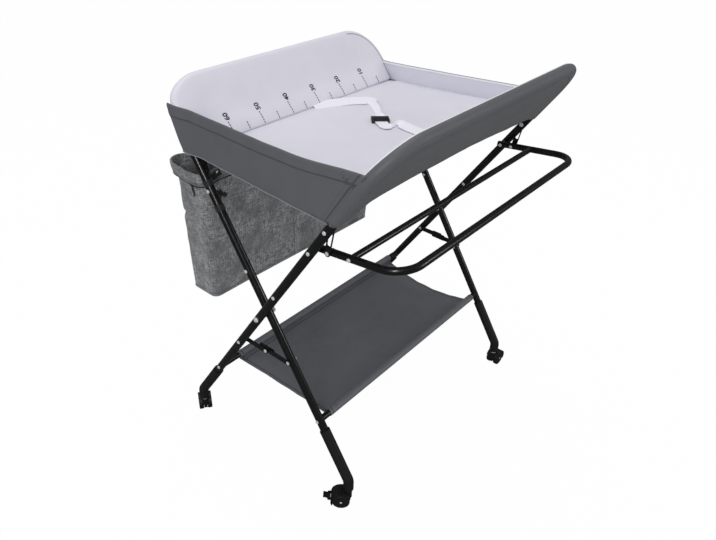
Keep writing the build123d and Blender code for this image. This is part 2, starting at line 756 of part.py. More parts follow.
def shelf_sling():
    """Cloth shelf: a sagging sheet with a hem tunnel round each stretcher."""
    reach = abs(leg_y(1, stretcher_height))
    hem_r = stretcher_r + soft_clearance + sling_hem_wall
    top = stretcher_height - stretcher_r
    upper = ThreePointArc((0, -reach, top), (0, 0, top - sling_sag), (0, reach, top))
    lower = ThreePointArc((0, -reach, top - sling_thickness), (0, 0, top - sling_sag - sling_thickness),
                          (0, reach, top - sling_thickness))
    ends = [Line(upper @ 0, lower @ 0), Line(upper @ 1, lower @ 1)]
    sheet = extrude(make_face([upper, lower] + ends), sling_back_half, dir=(1, 0, 0), both=True)
    for y in (-reach, reach):
        hem_at = (0, y, stretcher_height)
        sheet += across(hem_at, -sling_back_half, sling_back_half, hem_r)
        sheet -= across(hem_at, -inner_leg_x, inner_leg_x, stretcher_r + soft_clearance)
    for end in (-1, 1):
        front_y, back_y, far = -reach - hem_r, reach + hem_r, end * inner_leg_x
        hollow = (end * (sling_front_half - sling_inset), 0, 0)
        edge_ends = (end * sling_front_half, front_y, 0), (end * sling_back_half, back_y, 0)
        edge = ThreePointArc(edge_ends[0], hollow, edge_ends[1])
        outer = Polyline(edge @ 0, (far, front_y, 0), (far, back_y, 0), edge @ 1)
        sheet -= extrude(make_face([edge, outer]), stretcher_height + 2 * hem_r, dir=(0, 0, 1))
    return sheet


def bag_ring(height, grow):
    """Rounded outline of the bag at a height; grow widens it."""
    share = (height - bag_bottom_height) / (bag_top_height - bag_bottom_height)
    shrink = bag_taper * (1 - share)
    middle = Pos(bag_left_x + bag_length / 2, bag_inner_y + bag_depth / 2, height)
    wider = 2 * (grow - shrink)
    return middle * RectangleRounded(bag_length + wider, bag_depth + wider, bag_corner_radius + grow)


def bag_block(low, high, grow):
    return loft([bag_ring(low, grow), bag_ring(high, grow)], ruled=True)


def bag_shell():
    """Cloth bag, open at the top, with a folded cuff."""
    cuff_low = bag_top_height - cuff_height
    shell = bag_block(bag_bottom_height, cuff_low, 0)
    shell += bag_block(cuff_low, bag_top_height, cuff_thickness)
    inside = bag_block(bag_bottom_height + bag_floor, bag_top_height + overrun, -bag_wall)
    return shell - inside


def bag_board():
    """Stiff board on the floor of the bag."""
    low = bag_bottom_height + bag_floor
    return bag_block(low, low + board_thickness, -bag_wall - board_gap)


def bag_face_y(height):
    """y of the bag's face towards the legs."""
    share = (height - bag_bottom_height) / (bag_top_height - bag_bottom_height)
    cuff = cuff_thickness if height > bag_top_height - cuff_height else 0
    return bag_inner_y + bag_taper * (1 - share) - cuff


def strap_ends(end, height):
    """Where a strap leaves its leg, and where it is sewn to the bag."""
    leg_at = Vector(end * inner_leg_x, leg_y(1, height), height)
    bag_x = bag_left_x if end < 0 else bag_left_x + bag_length
    start = leg_at + Vector(0, tube_r + fit_clearance + strap_thickness / 2, 0)
    tail_y = bag_face_y(height - strap_width / 2) - fit_clearance - strap_thickness / 2
    tail_y = min(tail_y, bag_face_y(height) - strap_thickness)
    return leg_at, start, Vector(bag_x - end * strap_tail, tail_y, height)


def bag_strap(end, height):
    """Strap loop from the bag round the leg beside it."""
    leg_at, start, tail = strap_ends(end, height)
    inner_r = tube_r + fit_clearance
    ring = Cylinder(inner_r + strap_thickness, strap_width) - Cylinder(inner_r, strap_width + overrun)
    ring = Plane(origin=leg_at, x_dir=(1, 0, 0), z_dir=(0, sin(lean), cos(lean))) * ring
    run = tail - start
    band = Plane(origin=start, x_dir=run, z_dir=(0, 0, 1)) * Box(
        run.length, strap_thickness, strap_width, align=(Align.MIN, Align.CENTER, Align.CENTER))
    leg_ends = in_frame(1, end * inner_leg_x, 0), in_frame(1, end * inner_leg_x, along(tray_height))
    return ring + band - rod(*leg_ends, inner_r)


def bag_snap(end, height):
    """Press stud on the strap's tail."""
    start, tail = strap_ends(end, height)[1:]
    run = (tail - start).normalized()
    out = Vector(run.Y, -run.X, 0) * (1 if run.X > 0 else -1)
    seat = tail - run * snap_d + out * strap_thickness / 2
    stud = Cylinder(snap_d / 2, snap_height, align=(Align.CENTER, Align.CENTER, Align.MIN))
    stud = fillet(stud.edges().sort_by(Axis.Z)[-1], snap_height * dome_share)
    return Plane(origin=seat, z_dir=out) * stud


def every_solid(piece):
    """Flat list of the solids of a shape or of a list of shapes."""
    if isinstance(piece, (list, tuple)):
        return [solid for one in piece for solid in every_solid(one)]
    return list(piece.solids())


def build_nodes():
    nodes = {}
    for side, frame in ((1, "back"), (-1, "front")):
        nodes[f"{frame}_rail"] = rail(side)
        nodes[f"{frame}_panel"] = panel(side)
        nodes[f"{frame}_frame_fasteners"] = frame_fasteners(side)
        for end, name in ((-1, "left"), (1, "right")):
            nodes[f"{frame}_leg_{name}"] = leg(side, end)
            nodes[f"{frame}_leg_foot_{name}"] = foot(side, end)
            nodes[f"{frame}_brace_{name}"] = brace_bar(side, end)
    nodes["front_stretcher"] = stretcher(1)
    nodes["back_stretcher"] = stretcher(-1)
    nodes["front_caster_stems"] = [caster_stem(1, end) for end in (-1, 1)]
    nodes["back_caster_stems"] = [caster_stem(-1, end) for end in (-1, 1)]
    nodes["crossing_bolts"] = [pivot_bolt(end) for end in (-1, 1)]
    nodes["crossing_washers"] = [pivot_washer(end) for end in (-1, 1)]
    for end, name in ((-1, "left"), (1, "right")):
        nodes[f"brace_rivets_{name}"] = front_brace_rivet(end)
        nodes[f"brace_catch_{name}"] = brace_catch(end)
        nodes[f"rack_stay_{name}"] = stay(end)
        nodes[f"end_panel_{name}"] = end_panel(end)
        for side, row in ((1, "front"), (-1, "back")):
            place = caster_place(side, end, caster_turns[f"{row}_{name}"])
            nodes[f"caster_hood_{row}_{name}"] = caster_hood(place, end < 0)
            nodes[f"caster_wheels_{row}_{name}"] = caster_wheels(place)
            nodes[f"caster_axle_{row}_{name}"] = caster_axle(place)
            if end < 0:
                nodes[f"brake_lever_{row}_{name}"] = brake_lever(place)
    nodes["rack_frame"] = rack_frame()
    nodes["rack_crossbar"] = rack_crossbar()
    nodes["rack_rivets"] = rack_rivets()
    nodes["tray_base"] = tray_base()
    nodes["belt_strap_back"] = belt_strap(1)
    nodes["belt_strap_front"] = belt_strap(-1)
    nodes["buckle_socket"] = buckle_socket()
    nodes["buckle_tongue"] = buckle_tongue()
    nodes["shelf_sling"] = shelf_sling()
    nodes["bag_shell"] = bag_shell()
    nodes["bag_board"] = bag_board()
    nodes["bag_straps"] = [bag_strap(end, height) for end in (-1, 1) for height in strap_heights]
    nodes["bag_snaps"] = [bag_snap(end, height) for end in (-1, 1) for height in strap_heights]
    return nodes


def main():
    nodes = {name: every_solid(piece) for name, piece in build_nodes().items()}
    box = Compound([solid for solids in nodes.values() for solid in solids]).bounding_box()
    shift = Pos(0, -(box.min.Y + box.max.Y) / 2, 0)
    for name, solids in nodes.items():
        moved = [shift * solid for solid in solids]
        export_step(Compound(moved) if len(moved) > 1 else moved[0], f"parts/{name}.step")
    print(f"{len(nodes)} nodes, pivot at y {shift.position.Y:.4f}, box {box.size}")
    print("rack pivot", rack_pivot_at, "stay pivot", stay_pivot_at, "brace", brace_at)
    print("stay turn", stay_angle(rack_lift)[0] - stay_angle(0)[0])
    print("feet", foot_center(1, 1), foot_center(-1, 1), "brake", brake_x, brake_z)


if __name__ == "__main__":
    main()
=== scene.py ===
import json
import math
from math import cos, hypot, pi, radians, sin, tan

import bpy
import numpy as np
from mathutils import Matrix, Vector, noise


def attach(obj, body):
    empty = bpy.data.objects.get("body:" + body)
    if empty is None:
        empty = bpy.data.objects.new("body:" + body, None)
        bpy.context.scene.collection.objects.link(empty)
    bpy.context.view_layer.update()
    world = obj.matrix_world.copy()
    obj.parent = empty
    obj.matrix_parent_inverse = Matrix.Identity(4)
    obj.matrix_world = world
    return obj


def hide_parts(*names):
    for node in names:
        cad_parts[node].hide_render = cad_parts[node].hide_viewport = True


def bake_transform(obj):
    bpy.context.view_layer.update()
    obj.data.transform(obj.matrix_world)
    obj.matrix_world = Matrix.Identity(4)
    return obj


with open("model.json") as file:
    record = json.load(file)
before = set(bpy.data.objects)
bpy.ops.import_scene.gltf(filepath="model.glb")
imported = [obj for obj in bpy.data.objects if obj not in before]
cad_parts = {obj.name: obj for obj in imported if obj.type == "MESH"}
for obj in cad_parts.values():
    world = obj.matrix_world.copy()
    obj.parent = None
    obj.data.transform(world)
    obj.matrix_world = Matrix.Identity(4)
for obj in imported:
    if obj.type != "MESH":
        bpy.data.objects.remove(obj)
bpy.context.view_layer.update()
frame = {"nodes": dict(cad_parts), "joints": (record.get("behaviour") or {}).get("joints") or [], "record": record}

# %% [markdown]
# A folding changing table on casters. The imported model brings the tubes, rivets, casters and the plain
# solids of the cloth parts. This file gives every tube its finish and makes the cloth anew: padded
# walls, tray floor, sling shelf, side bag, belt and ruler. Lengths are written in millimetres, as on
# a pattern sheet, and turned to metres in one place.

MM = 0.001
joints = {joint["name"]: joint for joint in frame["joints"]}
pivot = Vector(joints["frame_fold"]["pos_m"])
LEAN = radians(33.6)
TRAY, PIVOT = 813.0, 470.0
BACK, FRONT = 1, -1
LEG_X = {BACK: 350.0, FRONT: 380.0}

# %% [markdown]
# The camera stands where the photographer stood: left of the table and in front of it, 1.4 m above the
# floor, looking down into the tray. Yaw, pitch and roll were fitted to the frame's straight tubes.

# %% Camera
FOCAL_PX, PICTURE_PX = 665.65, 716
yaw, pitch, roll = radians(-51.2), radians(33.74), radians(2.22)
back = Vector((sin(yaw) * cos(pitch), -cos(yaw) * cos(pitch), sin(pitch)))
right = (-back).cross(Vector((0, 0, 1))).normalized()
up = right.cross(-back)
level_right = cos(roll) * right + sin(roll) * up
level_up = -sin(roll) * right + cos(roll) * up
camera_data = bpy.data.cameras.new("camera")
camera_data.sensor_width = 36.0
camera_data.lens = FOCAL_PX * camera_data.sensor_width / PICTURE_PX
camera = bpy.data.objects.new("camera", camera_data)
bpy.context.scene.collection.objects.link(camera)
turn = Matrix((level_right, level_up, back)).transposed().to_4x4()
camera.matrix_world = Matrix.Translation((-1.17814, -0.92553 + pivot.y, 1.41481)) @ turn
bpy.context.scene.camera = camera
bpy.context.scene.view_settings.view_transform = "Standard"
print("camera at", tuple(round(c, 3) for c in camera.location))

# %% [markdown]
# Each frame is a flat U leaning on the other. It is easiest to think in a frame's own sheet:
# x along the table, s up along the legs from the crossing bolts, and out at a right angle to it.
# The back frame's out points into the tray, the front frame's points at the user.


# %% From a frame's sheet to the room
def in_frame(side, x, s, out=0.0):
    """Point in metres from millimetres in a frame's sheet."""
    y = side * sin(LEAN) * s - cos(LEAN) * out
    z = cos(LEAN) * s + side * sin(LEAN) * out
    return Vector((x * MM, pivot.y + y * MM, pivot.z + z * MM))


def along(height):
    return (height - PIVOT) / cos(LEAN)


def leg_y(side, height):
    return side * tan(LEAN) * (height - PIVOT)


def place(x, y, z):
    """Point in metres from millimetres measured from the crossing bolts' line and the floor."""
    return Vector((x * MM, pivot.y + y * MM, z * MM))


def smooth(low, high, value):
    """0 below low, 1 above high, and an even slope between."""
    t = min(max((value - low) / (high - low), 0.0), 1.0)
    return t * t * (3 - 2 * t)


# %% [markdown]
# Materials are built from nodes. One function adds a node, sets it and links it, and one turns the
# colours, written as on a screen, to the linear values that the renderer works in.


# %% Colours and nodes
def linear(code):
    """Linear colour from an sRGB hex value."""
    parts = [int(code[i:i + 2], 16) / 255 for i in (1, 3, 5)]
    return [p / 12.92 if p <= 0.04045 else ((p + 0.055) / 1.055) ** 2.4 for p in parts] + [1.0]


def add(tree, kind, inputs=None, **settings):
    """Adds a shader node; inputs are values, or sockets to link."""
    made = tree.nodes.new("ShaderNode" + kind)
    for name, value in settings.items():
        setattr(made, name, value)
    for key, value in (inputs or {}).items():
        if isinstance(value, bpy.types.NodeSocket):
            tree.links.new(value, made.inputs[key])
        else:
            made.inputs[key].default_value = value
    return made


def new_finish(name, roughness, **sockets):
    """A material with its shader; sockets are values on the shader itself."""
    material = bpy.data.materials.new(name)
    material.use_nodes = True
    shader = material.node_tree.nodes["Principled BSDF"]
    shader.inputs["Roughness"].default_value = roughness
    for key, value in sockets.items():
        shader.inputs[key.replace("_", " ")].default_value = value
    return material, material.node_tree, shader


def speckle(tree, size_mm, stretch=(1, 1, 1), detail=2.0):
    """Noise on the object's own coordinates, with grains of about size_mm."""
    at = add(tree, "TexCoord")
    scaled = add(tree, "Mapping", {0: at.outputs["Object"], "Scale": [c / (size_mm * MM) for c in stretch]})
    return add(tree, "TexNoise", {"Vector": scaled.outputs[0], "Scale": 1.0, "Detail": detail}).outputs["Fac"]


def between(tree, fac, low, high, kind="FLOAT"):
    """Mixes two values or colours by a factor."""
    mix = add(tree, "Mix", data_type=kind)
    first = {"FLOAT": 2, "RGBA": 6}[kind]
    for key, value in ((0, fac), (first, low), (first + 1, high)):
        if isinstance(value, bpy.types.NodeSocket):
            tree.links.new(value, mix.inputs[key])
        else:
            mix.inputs[key].default_value = value
    return mix.outputs[{"FLOAT": 0, "RGBA": 2}[kind]]


def remap(tree, value, low, high, to_low=0.0, to_high=1.0):
    return add(tree, "MapRange", {0: value, 1: low, 2: high, 3: to_low, 4: to_high}).outputs[0]


def maths(tree, operation, *values):
    return add(tree, "Math", dict(enumerate(values)), operation=operation).outputs[0]


def raise_by(tree, shader, height, distance_mm, strength=1.0):
    """Bump of a height between 0 and 1 over distance_mm."""
    bump = add(tree, "Bump", {"Height": height, "Distance": distance_mm * MM, "Strength": strength})
    tree.links.new(bump.outputs[0], shader.inputs["Normal"])


# %% [markdown]
# The tubes are steel, bent, drilled and powder coated in gloss black. Powder flows out in the oven and
# leaves a faint orange peel, so the highlight along a leg is long and narrow but not mirror sharp.

# %% Tube, steel and plastic finishes
finishes = {}
material, tree, shader = new_finish("powder_coated_steel", 0.28, Coat_Weight=0.35, Coat_Roughness=0.12)
peel = speckle(tree, 2.5)
shader.inputs["Base Color"].default_value = linear("#0D0D0E")
tree.links.new(remap(tree, speckle(tree, 30.0), 0.3, 0.7, 0.22, 0.36), shader.inputs["Roughness"])
raise_by(tree, shader, peel, 0.05, 0.35)
finishes["black_tube"] = material

material, tree, shader = new_finish("painted_strip_steel", 0.4)
wear = remap(tree, speckle(tree, 7.0, detail=4.0), 0.62, 0.72)
tree.links.new(between(tree, wear, linear("#121214"), linear("#26262A"), "RGBA"), shader.inputs["Base Color"])
raise_by(tree, shader, speckle(tree, 1.2), 0.06, 0.4)
finishes["brace_steel"] = material

material, tree, shader = new_finish("zinc_plated_steel", 0.3, Metallic=0.35)
tree.links.new(between(tree, speckle(tree, 3.0), linear("#C4C6C8"), linear("#F0F1F2"), "RGBA"),
               shader.inputs["Base Color"])
tree.links.new(remap(tree, speckle(tree, 1.0), 0.3, 0.7, 0.22, 0.42), shader.inputs["Roughness"])
finishes["bright_rivets"] = material

for slot_name, label, dark, light, rough, grain in (
        ("foot_plastic", "moulded_polypropylene", "#141416", "#1B1B1E", 0.42, 1.4),
        ("caster_plastic", "moulded_nylon", "#101012", "#19191B", 0.46, 1.1),
        ("wheel_plastic", "turned_nylon_tread", "#0E0E10", "#1A1A1C", 0.58, 0.9),
        ("board_plastic", "hollow_sheet_polypropylene", "#4A4B4D", "#57585A", 0.6, 3.0)):
    material, tree, shader = new_finish(label, rough)
    tree.links.new(between(tree, speckle(tree, 9.0), linear(dark), linear(light), "RGBA"),
                   shader.inputs["Base Color"])
    raise_by(tree, shader, speckle(tree, grain), 0.08, 0.5)
    finishes[slot_name] = material
print("hard finishes:", sorted(finishes))

# %% [markdown]
# Cloth carries its sewing in two attributes that the pieces below write at every point, in
# millimetres: "lit" is how far a point lies inside the light lining, and "stitch" is the distance to
# the nearest seam and the run along it. The dark cloth is a coated oxford weave with a soft sheen, the
# lining a smooth wipeable laminate. Its threads, about half a millimetre, are finer than the picture
# shows, so the weave is drawn at twice that.


# %% Cloth finishes
def weave(tree, thread_mm):
    """Height of a plain weave from two crossing waves."""
    at = add(tree, "TexCoord")
    waves = []
    for turn_to in ((1, 0, 0), (0, 0.6, 0.8)):
        dot = add(tree, "VectorMath", {0: at.outputs["Object"], 1: turn_to}, operation="DOT_PRODUCT")
        waves.append(maths(tree, "SINE", maths(tree, "MULTIPLY", dot.outputs["Value"], pi / (thread_mm * MM))))
    return remap(tree, maths(tree, "MULTIPLY", *waves), -1.0, 1.0)


def seam_marks(tree):
    """(groove, thread): the groove along a seam, whose mask also darkens the cloth there as painted shade, and the
    separate stitches in it.
    """
    sewn = add(tree, "Attribute", attribute_name="stitch")
    parts = add(tree, "SeparateXYZ", {0: sewn.outputs["Vector"]})
    away = maths(tree, "ABSOLUTE", parts.outputs[0])
    groove_and_shade = remap(tree, away, 0.6, 2.6, 1.0, 0.0)
    step = maths(tree, "FRACT", maths(tree, "DIVIDE", parts.outputs[1], 4.5))
    dash = maths(tree, "LESS_THAN", step, 0.62)
    return groove_and_shade, maths(tree, "MULTIPLY", dash, remap(tree, away, 0.35, 0.6, 1.0, 0.0))


def cloth_finish(name, dark, light_from, light_to, rough_dark, rough_light, thread_mm, thread_color):
    """Two-sided cloth: dark outside and light where "lit" is above zero."""
    material, tree, shader = new_finish(name, rough_dark, Sheen_Weight=0.1, Sheen_Roughness=0.5)
    lit = remap(tree, add(tree, "Attribute", attribute_name="lit").outputs["Fac"], -0.3, 0.3)
    tone = speckle(tree, 60.0, detail=3.0)
    outside = between(tree, tone, linear(dark[0]), linear(dark[1]), "RGBA")
    inside = between(tree, tone, linear(light_from), linear(light_to), "RGBA")
    both = between(tree, lit, outside, inside, "RGBA")
    groove_and_shade, thread = seam_marks(tree)
    # Painted shade: the cloth is darkened towards near black along each seam groove.
    shaded = add(tree, "Mix", {0: maths(tree, "MULTIPLY", groove_and_shade, 0.45), 6: both, 7: linear("#0F1012")},
                 data_type="RGBA", blend_type="MIX").outputs[2]
    sewn = between(tree, maths(tree, "MULTIPLY", thread, 0.7), shaded, linear(thread_color), "RGBA")
    tree.links.new(sewn, shader.inputs["Base Color"])
    tree.links.new(between(tree, lit, rough_dark, rough_light), shader.inputs["Roughness"])
    height = maths(tree, "SUBTRACT", maths(tree, "MULTIPLY", weave(tree, thread_mm), 0.22), groove_and_shade)
    raise_by(tree, shader, maths(tree, "ADD", height, maths(tree, "MULTIPLY", thread, 0.6)), 0.7, 0.5)
    return material


wall_cloth = cloth_finish("coated_oxford_with_lining", ("#505257", "#585A5F"), "#D0CFDA", "#D8D7E0",
                          0.5, 0.5, 1.1, "#3A3C40")
# The shelf is the same dark oxford as the walls, but its colours are painted lighter to stand in for light under
# the tray, where it hangs in shade.
shelf_cloth_lightened_for_shade = cloth_finish("coated_oxford_shelf_painted_lighter", ("#5A5C61", "#64666B"), "#CCCBD6", "#D4D3DC",
                           0.46, 0.5, 1.1, "#3A3C40")
finishes["dark_cloth"] = wall_cloth
finishes["light_cloth"] = wall_cloth


# %% [markdown]
# The bag is a melange linen look: black, grey and near white slubs run both ways. Real slubs are under
# half a millimetre thick, and here they are a little coarser so that the mottling survives.

# %% Linen and webbing finishes
material, tree, shader = new_finish("heather_linen_weave", 0.85, Sheen_Weight=0.2)
warp = speckle(tree, 1.6, (0.12, 0.12, 1.0), 3.0)
weft = speckle(tree, 1.6, (1.0, 1.0, 0.1), 3.0)
slub = maths(tree, "ADD", warp, weft)
base = between(tree, remap(tree, slub, 0.8, 1.2), linear("#3F4042"), linear("#A4A6A8"), "RGBA")
cloudy = between(tree, remap(tree, speckle(tree, 45.0), 0.35, 0.75), base, linear("#5E5F62"), "RGBA")
groove_and_shade, thread = seam_marks(tree)
# Painted shade: the linen is darkened towards near black along each seam groove.
seam_shaded_linen = between(tree, maths(tree, "MULTIPLY", groove_and_shade, 0.55), cloudy, linear("#1B1C1E"), "RGBA")
tree.links.new(seam_shaded_linen, shader.inputs["Base Color"])
raise_by(tree, shader, maths(tree, "SUBTRACT", slub, groove_and_shade), 0.6, 0.55)
finishes["heather_cloth"] = material

for slot_name, label, low_tone, high_tone, rough in (
        ("white_webbing", "polyester_webbing_white", "#DAD9E4", "#F0EFF7", 0.6),
        ("black_webbing", "polypropylene_webbing_black", "#0B0B0C", "#232326", 0.55)):
    material, tree, shader = new_finish(label, rough, Sheen_Weight=0.15)
    ribbed = add(tree, "Attribute", attribute_name="stitch")
    parts = add(tree, "SeparateXYZ", {0: ribbed.outputs["Vector"]})
    rib = maths(tree, "SINE", maths(tree, "MULTIPLY", parts.outputs[0], 2 * pi / 3.2))
    pick = maths(tree, "SINE", maths(tree, "MULTIPLY", parts.outputs[1], 2 * pi / 2.2))
    woven = remap(tree, maths(tree, "ADD", rib, maths(tree, "MULTIPLY", pick, 0.5)), -1.5, 1.5)
    tree.links.new(between(tree, woven, linear(low_tone), linear(high_tone), "RGBA"),
                   shader.inputs["Base Color"])
    raise_by(tree, shader, woven, 0.35, 0.5)
    finishes[slot_name] = material


def trim_finish(name, dark, light):
    """Twisted cotton, for piping and binding."""
    material, tree, shader = new_finish(name, 0.7)
    twist = speckle(tree, 1.2, (1, 1, 3))
    tree.links.new(between(tree, twist, linear(dark), linear(light), "RGBA"), shader.inputs["Base Color"])
    raise_by(tree, shader, twist, 0.2, 0.5)
    return material


piping_white = trim_finish("cotton_piping_white", "#D8D8DC", "#F4F4F6")
binding_grey = trim_finish("bias_binding_grey", "#6F7174", "#85878A")
material, tree, shader = new_finish("screen_print_ink", 0.6)
grain = remap(tree, speckle(tree, 0.9), 0.25, 0.4)
tree.links.new(between(tree, grain, linear("#38383D"), linear("#1C1C20"), "RGBA"), shader.inputs["Base Color"])
raise_by(tree, shader, grain, 0.05, 0.3)
print_ink = material

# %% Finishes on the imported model's own pieces
slots = {part["node"]: part["material_slot"] for part in frame["record"]["subparts"]}
for name, thing in frame["nodes"].items():
    thing.data.materials.clear()
    thing.data.materials.append(finishes[slots[name]])
print(len(frame["nodes"]), "packed pieces finished")


# %% [markdown]
# Cloth pieces start as a grid primitive whose points are then laid where the pattern says, like cloth
# pinned over its frame. Two grids that meet at their rims are sewn by merging the points there.


# %% Helpers for cloth
def select_only(*things):
    bpy.ops.object.select_all(action="DESELECT")
    for thing in things:
        thing.select_set(True)
    bpy.context.view_layer.objects.active = things[0]


def lay_grid(name, across, down, lay):
    """A grid primitive with each point laid by lay(u, v); lay returns (point, lit, stitch, run)."""
    bpy.ops.object.select_all(action="DESELECT")
    bpy.ops.mesh.primitive_grid_add(x_subdivisions=across, y_subdivisions=down, size=2.0)
    piece = bpy.context.object
    piece.name = name
    mesh = piece.data
    count = len(mesh.vertices)
    flat = np.empty(count * 3, np.float32)
    mesh.vertices.foreach_get("co", flat)
    flat = flat.reshape(-1, 3)
    laid = [lay((x + 1) / 2, (y + 1) / 2) for x, y, _ in flat]
    mesh.vertices.foreach_set("co", np.array([p[0] for p in laid], np.float32).ravel())
    lit = mesh.attributes.new("lit", "FLOAT", "POINT")
    lit.data.foreach_set("value", np.array([p[1] for p in laid], np.float32))
    stitch = mesh.attributes.new("stitch", "FLOAT_VECTOR", "POINT")
    stitch.data.foreach_set("vector", np.array([(p[2], p[3], 0) for p in laid], np.float32).ravel())
    mesh.update()
    return piece


def sew(name, *pieces, weld_mm=0.05):
    """Joins pieces into one and merges the points that meet."""
    select_only(*pieces)
    if len(pieces) > 1:
        bpy.ops.object.join()
    piece = bpy.context.object
    piece.name = name
    bpy.ops.object.mode_set(mode="EDIT")
    bpy.ops.mesh.select_all(action="SELECT")
    bpy.ops.mesh.remove_doubles(threshold=weld_mm * MM)
    bpy.ops.mesh.normals_make_consistent(inside=False)
    bpy.ops.object.mode_set(mode="OBJECT")
    return piece


def apply_modifier(piece, kind, **settings):
    select_only(piece)
    modifier = piece.modifiers.new(kind.lower(), kind)
    for key, value in settings.items():
        setattr(modifier, key, value)
    bpy.ops.object.modifier_apply(modifier=modifier.name)


def finish_piece(piece, material, body=None, angle=50):
    piece.data.materials.clear()
    piece.data.materials.append(material)
    select_only(piece)
    bpy.ops.object.shade_smooth_by_angle(angle=radians(angle))
    if body:
        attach(piece, body)
    return piece


def welt(name, points, radius_mm, closed=False, sides=3):
    """Round piping along points in metres, as a mesh tube."""
    curve = bpy.data.curves.new(name, "CURVE")
    curve.dimensions = "3D"
    curve.bevel_depth = radius_mm * MM
    curve.bevel_resolution = sides
    curve.use_fill_caps = not closed
    spline = curve.splines.new("POLY")
    spline.points.add(len(points) - 1)
    for spot, at in zip(spline.points, points):
        spot.co = (*at, 1.0)
    spline.use_cyclic_u = closed
    piece = bpy.data.objects.new(name, curve)
    bpy.context.scene.collection.objects.link(piece)
    select_only(piece)
    bpy.ops.object.convert(target="MESH")
    return bpy.context.object


def ripple(x, y, z, size_mm, seed=0.0):
    """Smooth noise between about -1 and 1 with waves of size_mm."""
    return noise.noise(Vector((x / size_mm + seed, y / size_mm - seed, z / size_mm + 2 * seed)))


# %% [markdown]
# The back and front walls are sleeves of cloth pulled over the U-shaped rails. Over the tube the sleeve
# is round; between the tubes the two layers are stretched and come closer together, so each wall is a
# thick roll at its rim and a thin skin in its middle. Distances from the rim decide everything: where
# the roll ends, where the lining starts and where the stitches run.

# %% Shape of a wall
ROLL = 12.0
LOW = along(TRAY)
END_TOP = {-1: (895.0, 911.0), 1: (856.0, 882.0)}
WALL = {BACK: {"half": 362.0, "top": along(930.0) + 12.0, "radius": 112.0, "border": -4.0},
        FRONT: {"half": 392.0, "top": along(973.0) + 12.0, "radius": 124.0, "border": 9.0}}


def rim_depth(side, x, s):
    """How far a point lies inside the wall's outline."""
    w = WALL[side]
    corner_x, corner_s = w["half"] - w["radius"], w["top"] - w["radius"]
    if abs(x) > corner_x and s > corner_s:
        return w["radius"] - hypot(abs(x) - corner_x, s - corner_s)
    return min(w["half"] - abs(x), w["top"] - s)


def outline_top(side, x):
    w = WALL[side]
    over = max(abs(x) - (w["half"] - w["radius"]), 0.0)
    return w["top"] - w["radius"] + math.sqrt(max(w["radius"] ** 2 - over ** 2, 0.0))


def wall_low(side, x):
    """Lower edge of a wall: level at the back, and drawn up between the legs at the front."""
    if side == BACK:
        return LOW - 14.0
    return LOW + float(np.interp(x, (-378, -345, -314, -260, -200, 20, 114, 228, 339, 380),
                                 (-11, 4, 20, 29, 33, 33, 26, 10, 1, -11)))


def skin(side, x, s, inner):
    """Distance of the wall's face from the frame's sheet, on its tray side or its outer side."""
    depth = max(rim_depth(side, x, s), 0.0)
    roll = math.sqrt(max(ROLL ** 2 - max(ROLL - depth, 0.0) ** 2, 0.0))
    sunk = smooth(ROLL, 95.0, depth) * (8.5 if inner else 4.5)
    fold = 0.8 * ripple(x, s, 0, 70.0, 3.0 if inner else 8.0) + 0.35 * ripple(x, s, 0, 24.0, 5.0)
    near_corner = smooth(170.0, 60.0, WALL[side]["half"] - abs(x)) * smooth(0.0, 60.0, depth)
    fold += near_corner * 1.6 * ripple(x * 1.6, s * 0.4, 0, 38.0, 11.0)
    lip = math.sqrt(max(1 - (1 - min((s - wall_low(side, x)) / 6.0 + 1e-6, 1.0)) ** 2, 0.0))
    if side == BACK and inner:
        sunk -= 8.0 * smooth(LOW + 48.0, LOW - 4.0, s) * smooth(0.0, 60.0, depth)
    return (roll - sunk - smooth(6.0, 26.0, depth) * abs(fold)) * lip


def wall_point(side, x, s, inner, lift=0.0):
    """Point on a wall's face, in metres; the tray side is out on the back frame only."""
    sign = 1 if inner == (side == BACK) else -1
    bulge = 12.0 * smooth(170.0, 362.0, -x) * smooth(along(880.0), along(920.0), s) if side == BACK else 0.0
    return in_frame(side, x - bulge, s, sign * (skin(side, x, s, inner) + lift))


def wall_face(side, inner):
    w = WALL[side]

    def lay(u, v):
        x = w["half"] * sin(pi / 2 * (2 * u - 1))
        top, low = outline_top(side, x), wall_low(side, x)
        s = top + (low - top) * (1 - cos(pi * v)) / 2
        depth = rim_depth(side, x, s)
        q = depth if inner else -depth
        end_top = along(END_TOP[1 if x > 0 else -1][side == FRONT])
        lit = min(q - w["border"], max(w["half"] - 9.0 - abs(x), (s - end_top) * 0.6))
        stitch = depth - 27.0 if not inner and side == FRONT else depth - 25.0
        if side == FRONT and not inner:
            stitch = min(stitch, abs(s - low - 7.0), key=abs)
        if inner:
            stitch = depth - 12.0 if side == BACK and x > 250 else 50.0
        return wall_point(side, x, s, inner), lit, stitch, x * 1.3 + s

    return lay


# %% Back and front walls
for side, label in ((BACK, "back_wall_cover"), (FRONT, "front_wall_cover")):
    faces = [lay_grid(f"{label}_{n}", 110, 60, wall_face(side, n == 0)) for n in (0, 1)]
    cover = sew(label, *faces)
    finish_piece(cover, wall_cloth, "back_frame" if side == BACK else "front_frame")
    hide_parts("back_panel" if side == BACK else "front_panel")
    print(label, len(cover.data.polygons), "faces")

# %% [markdown]
# The near edge of the lining is finished with white piping: along the front wall's inner rim and
# along the top of both end walls. It is a cord in a folded strip, so a thin round tube is right.


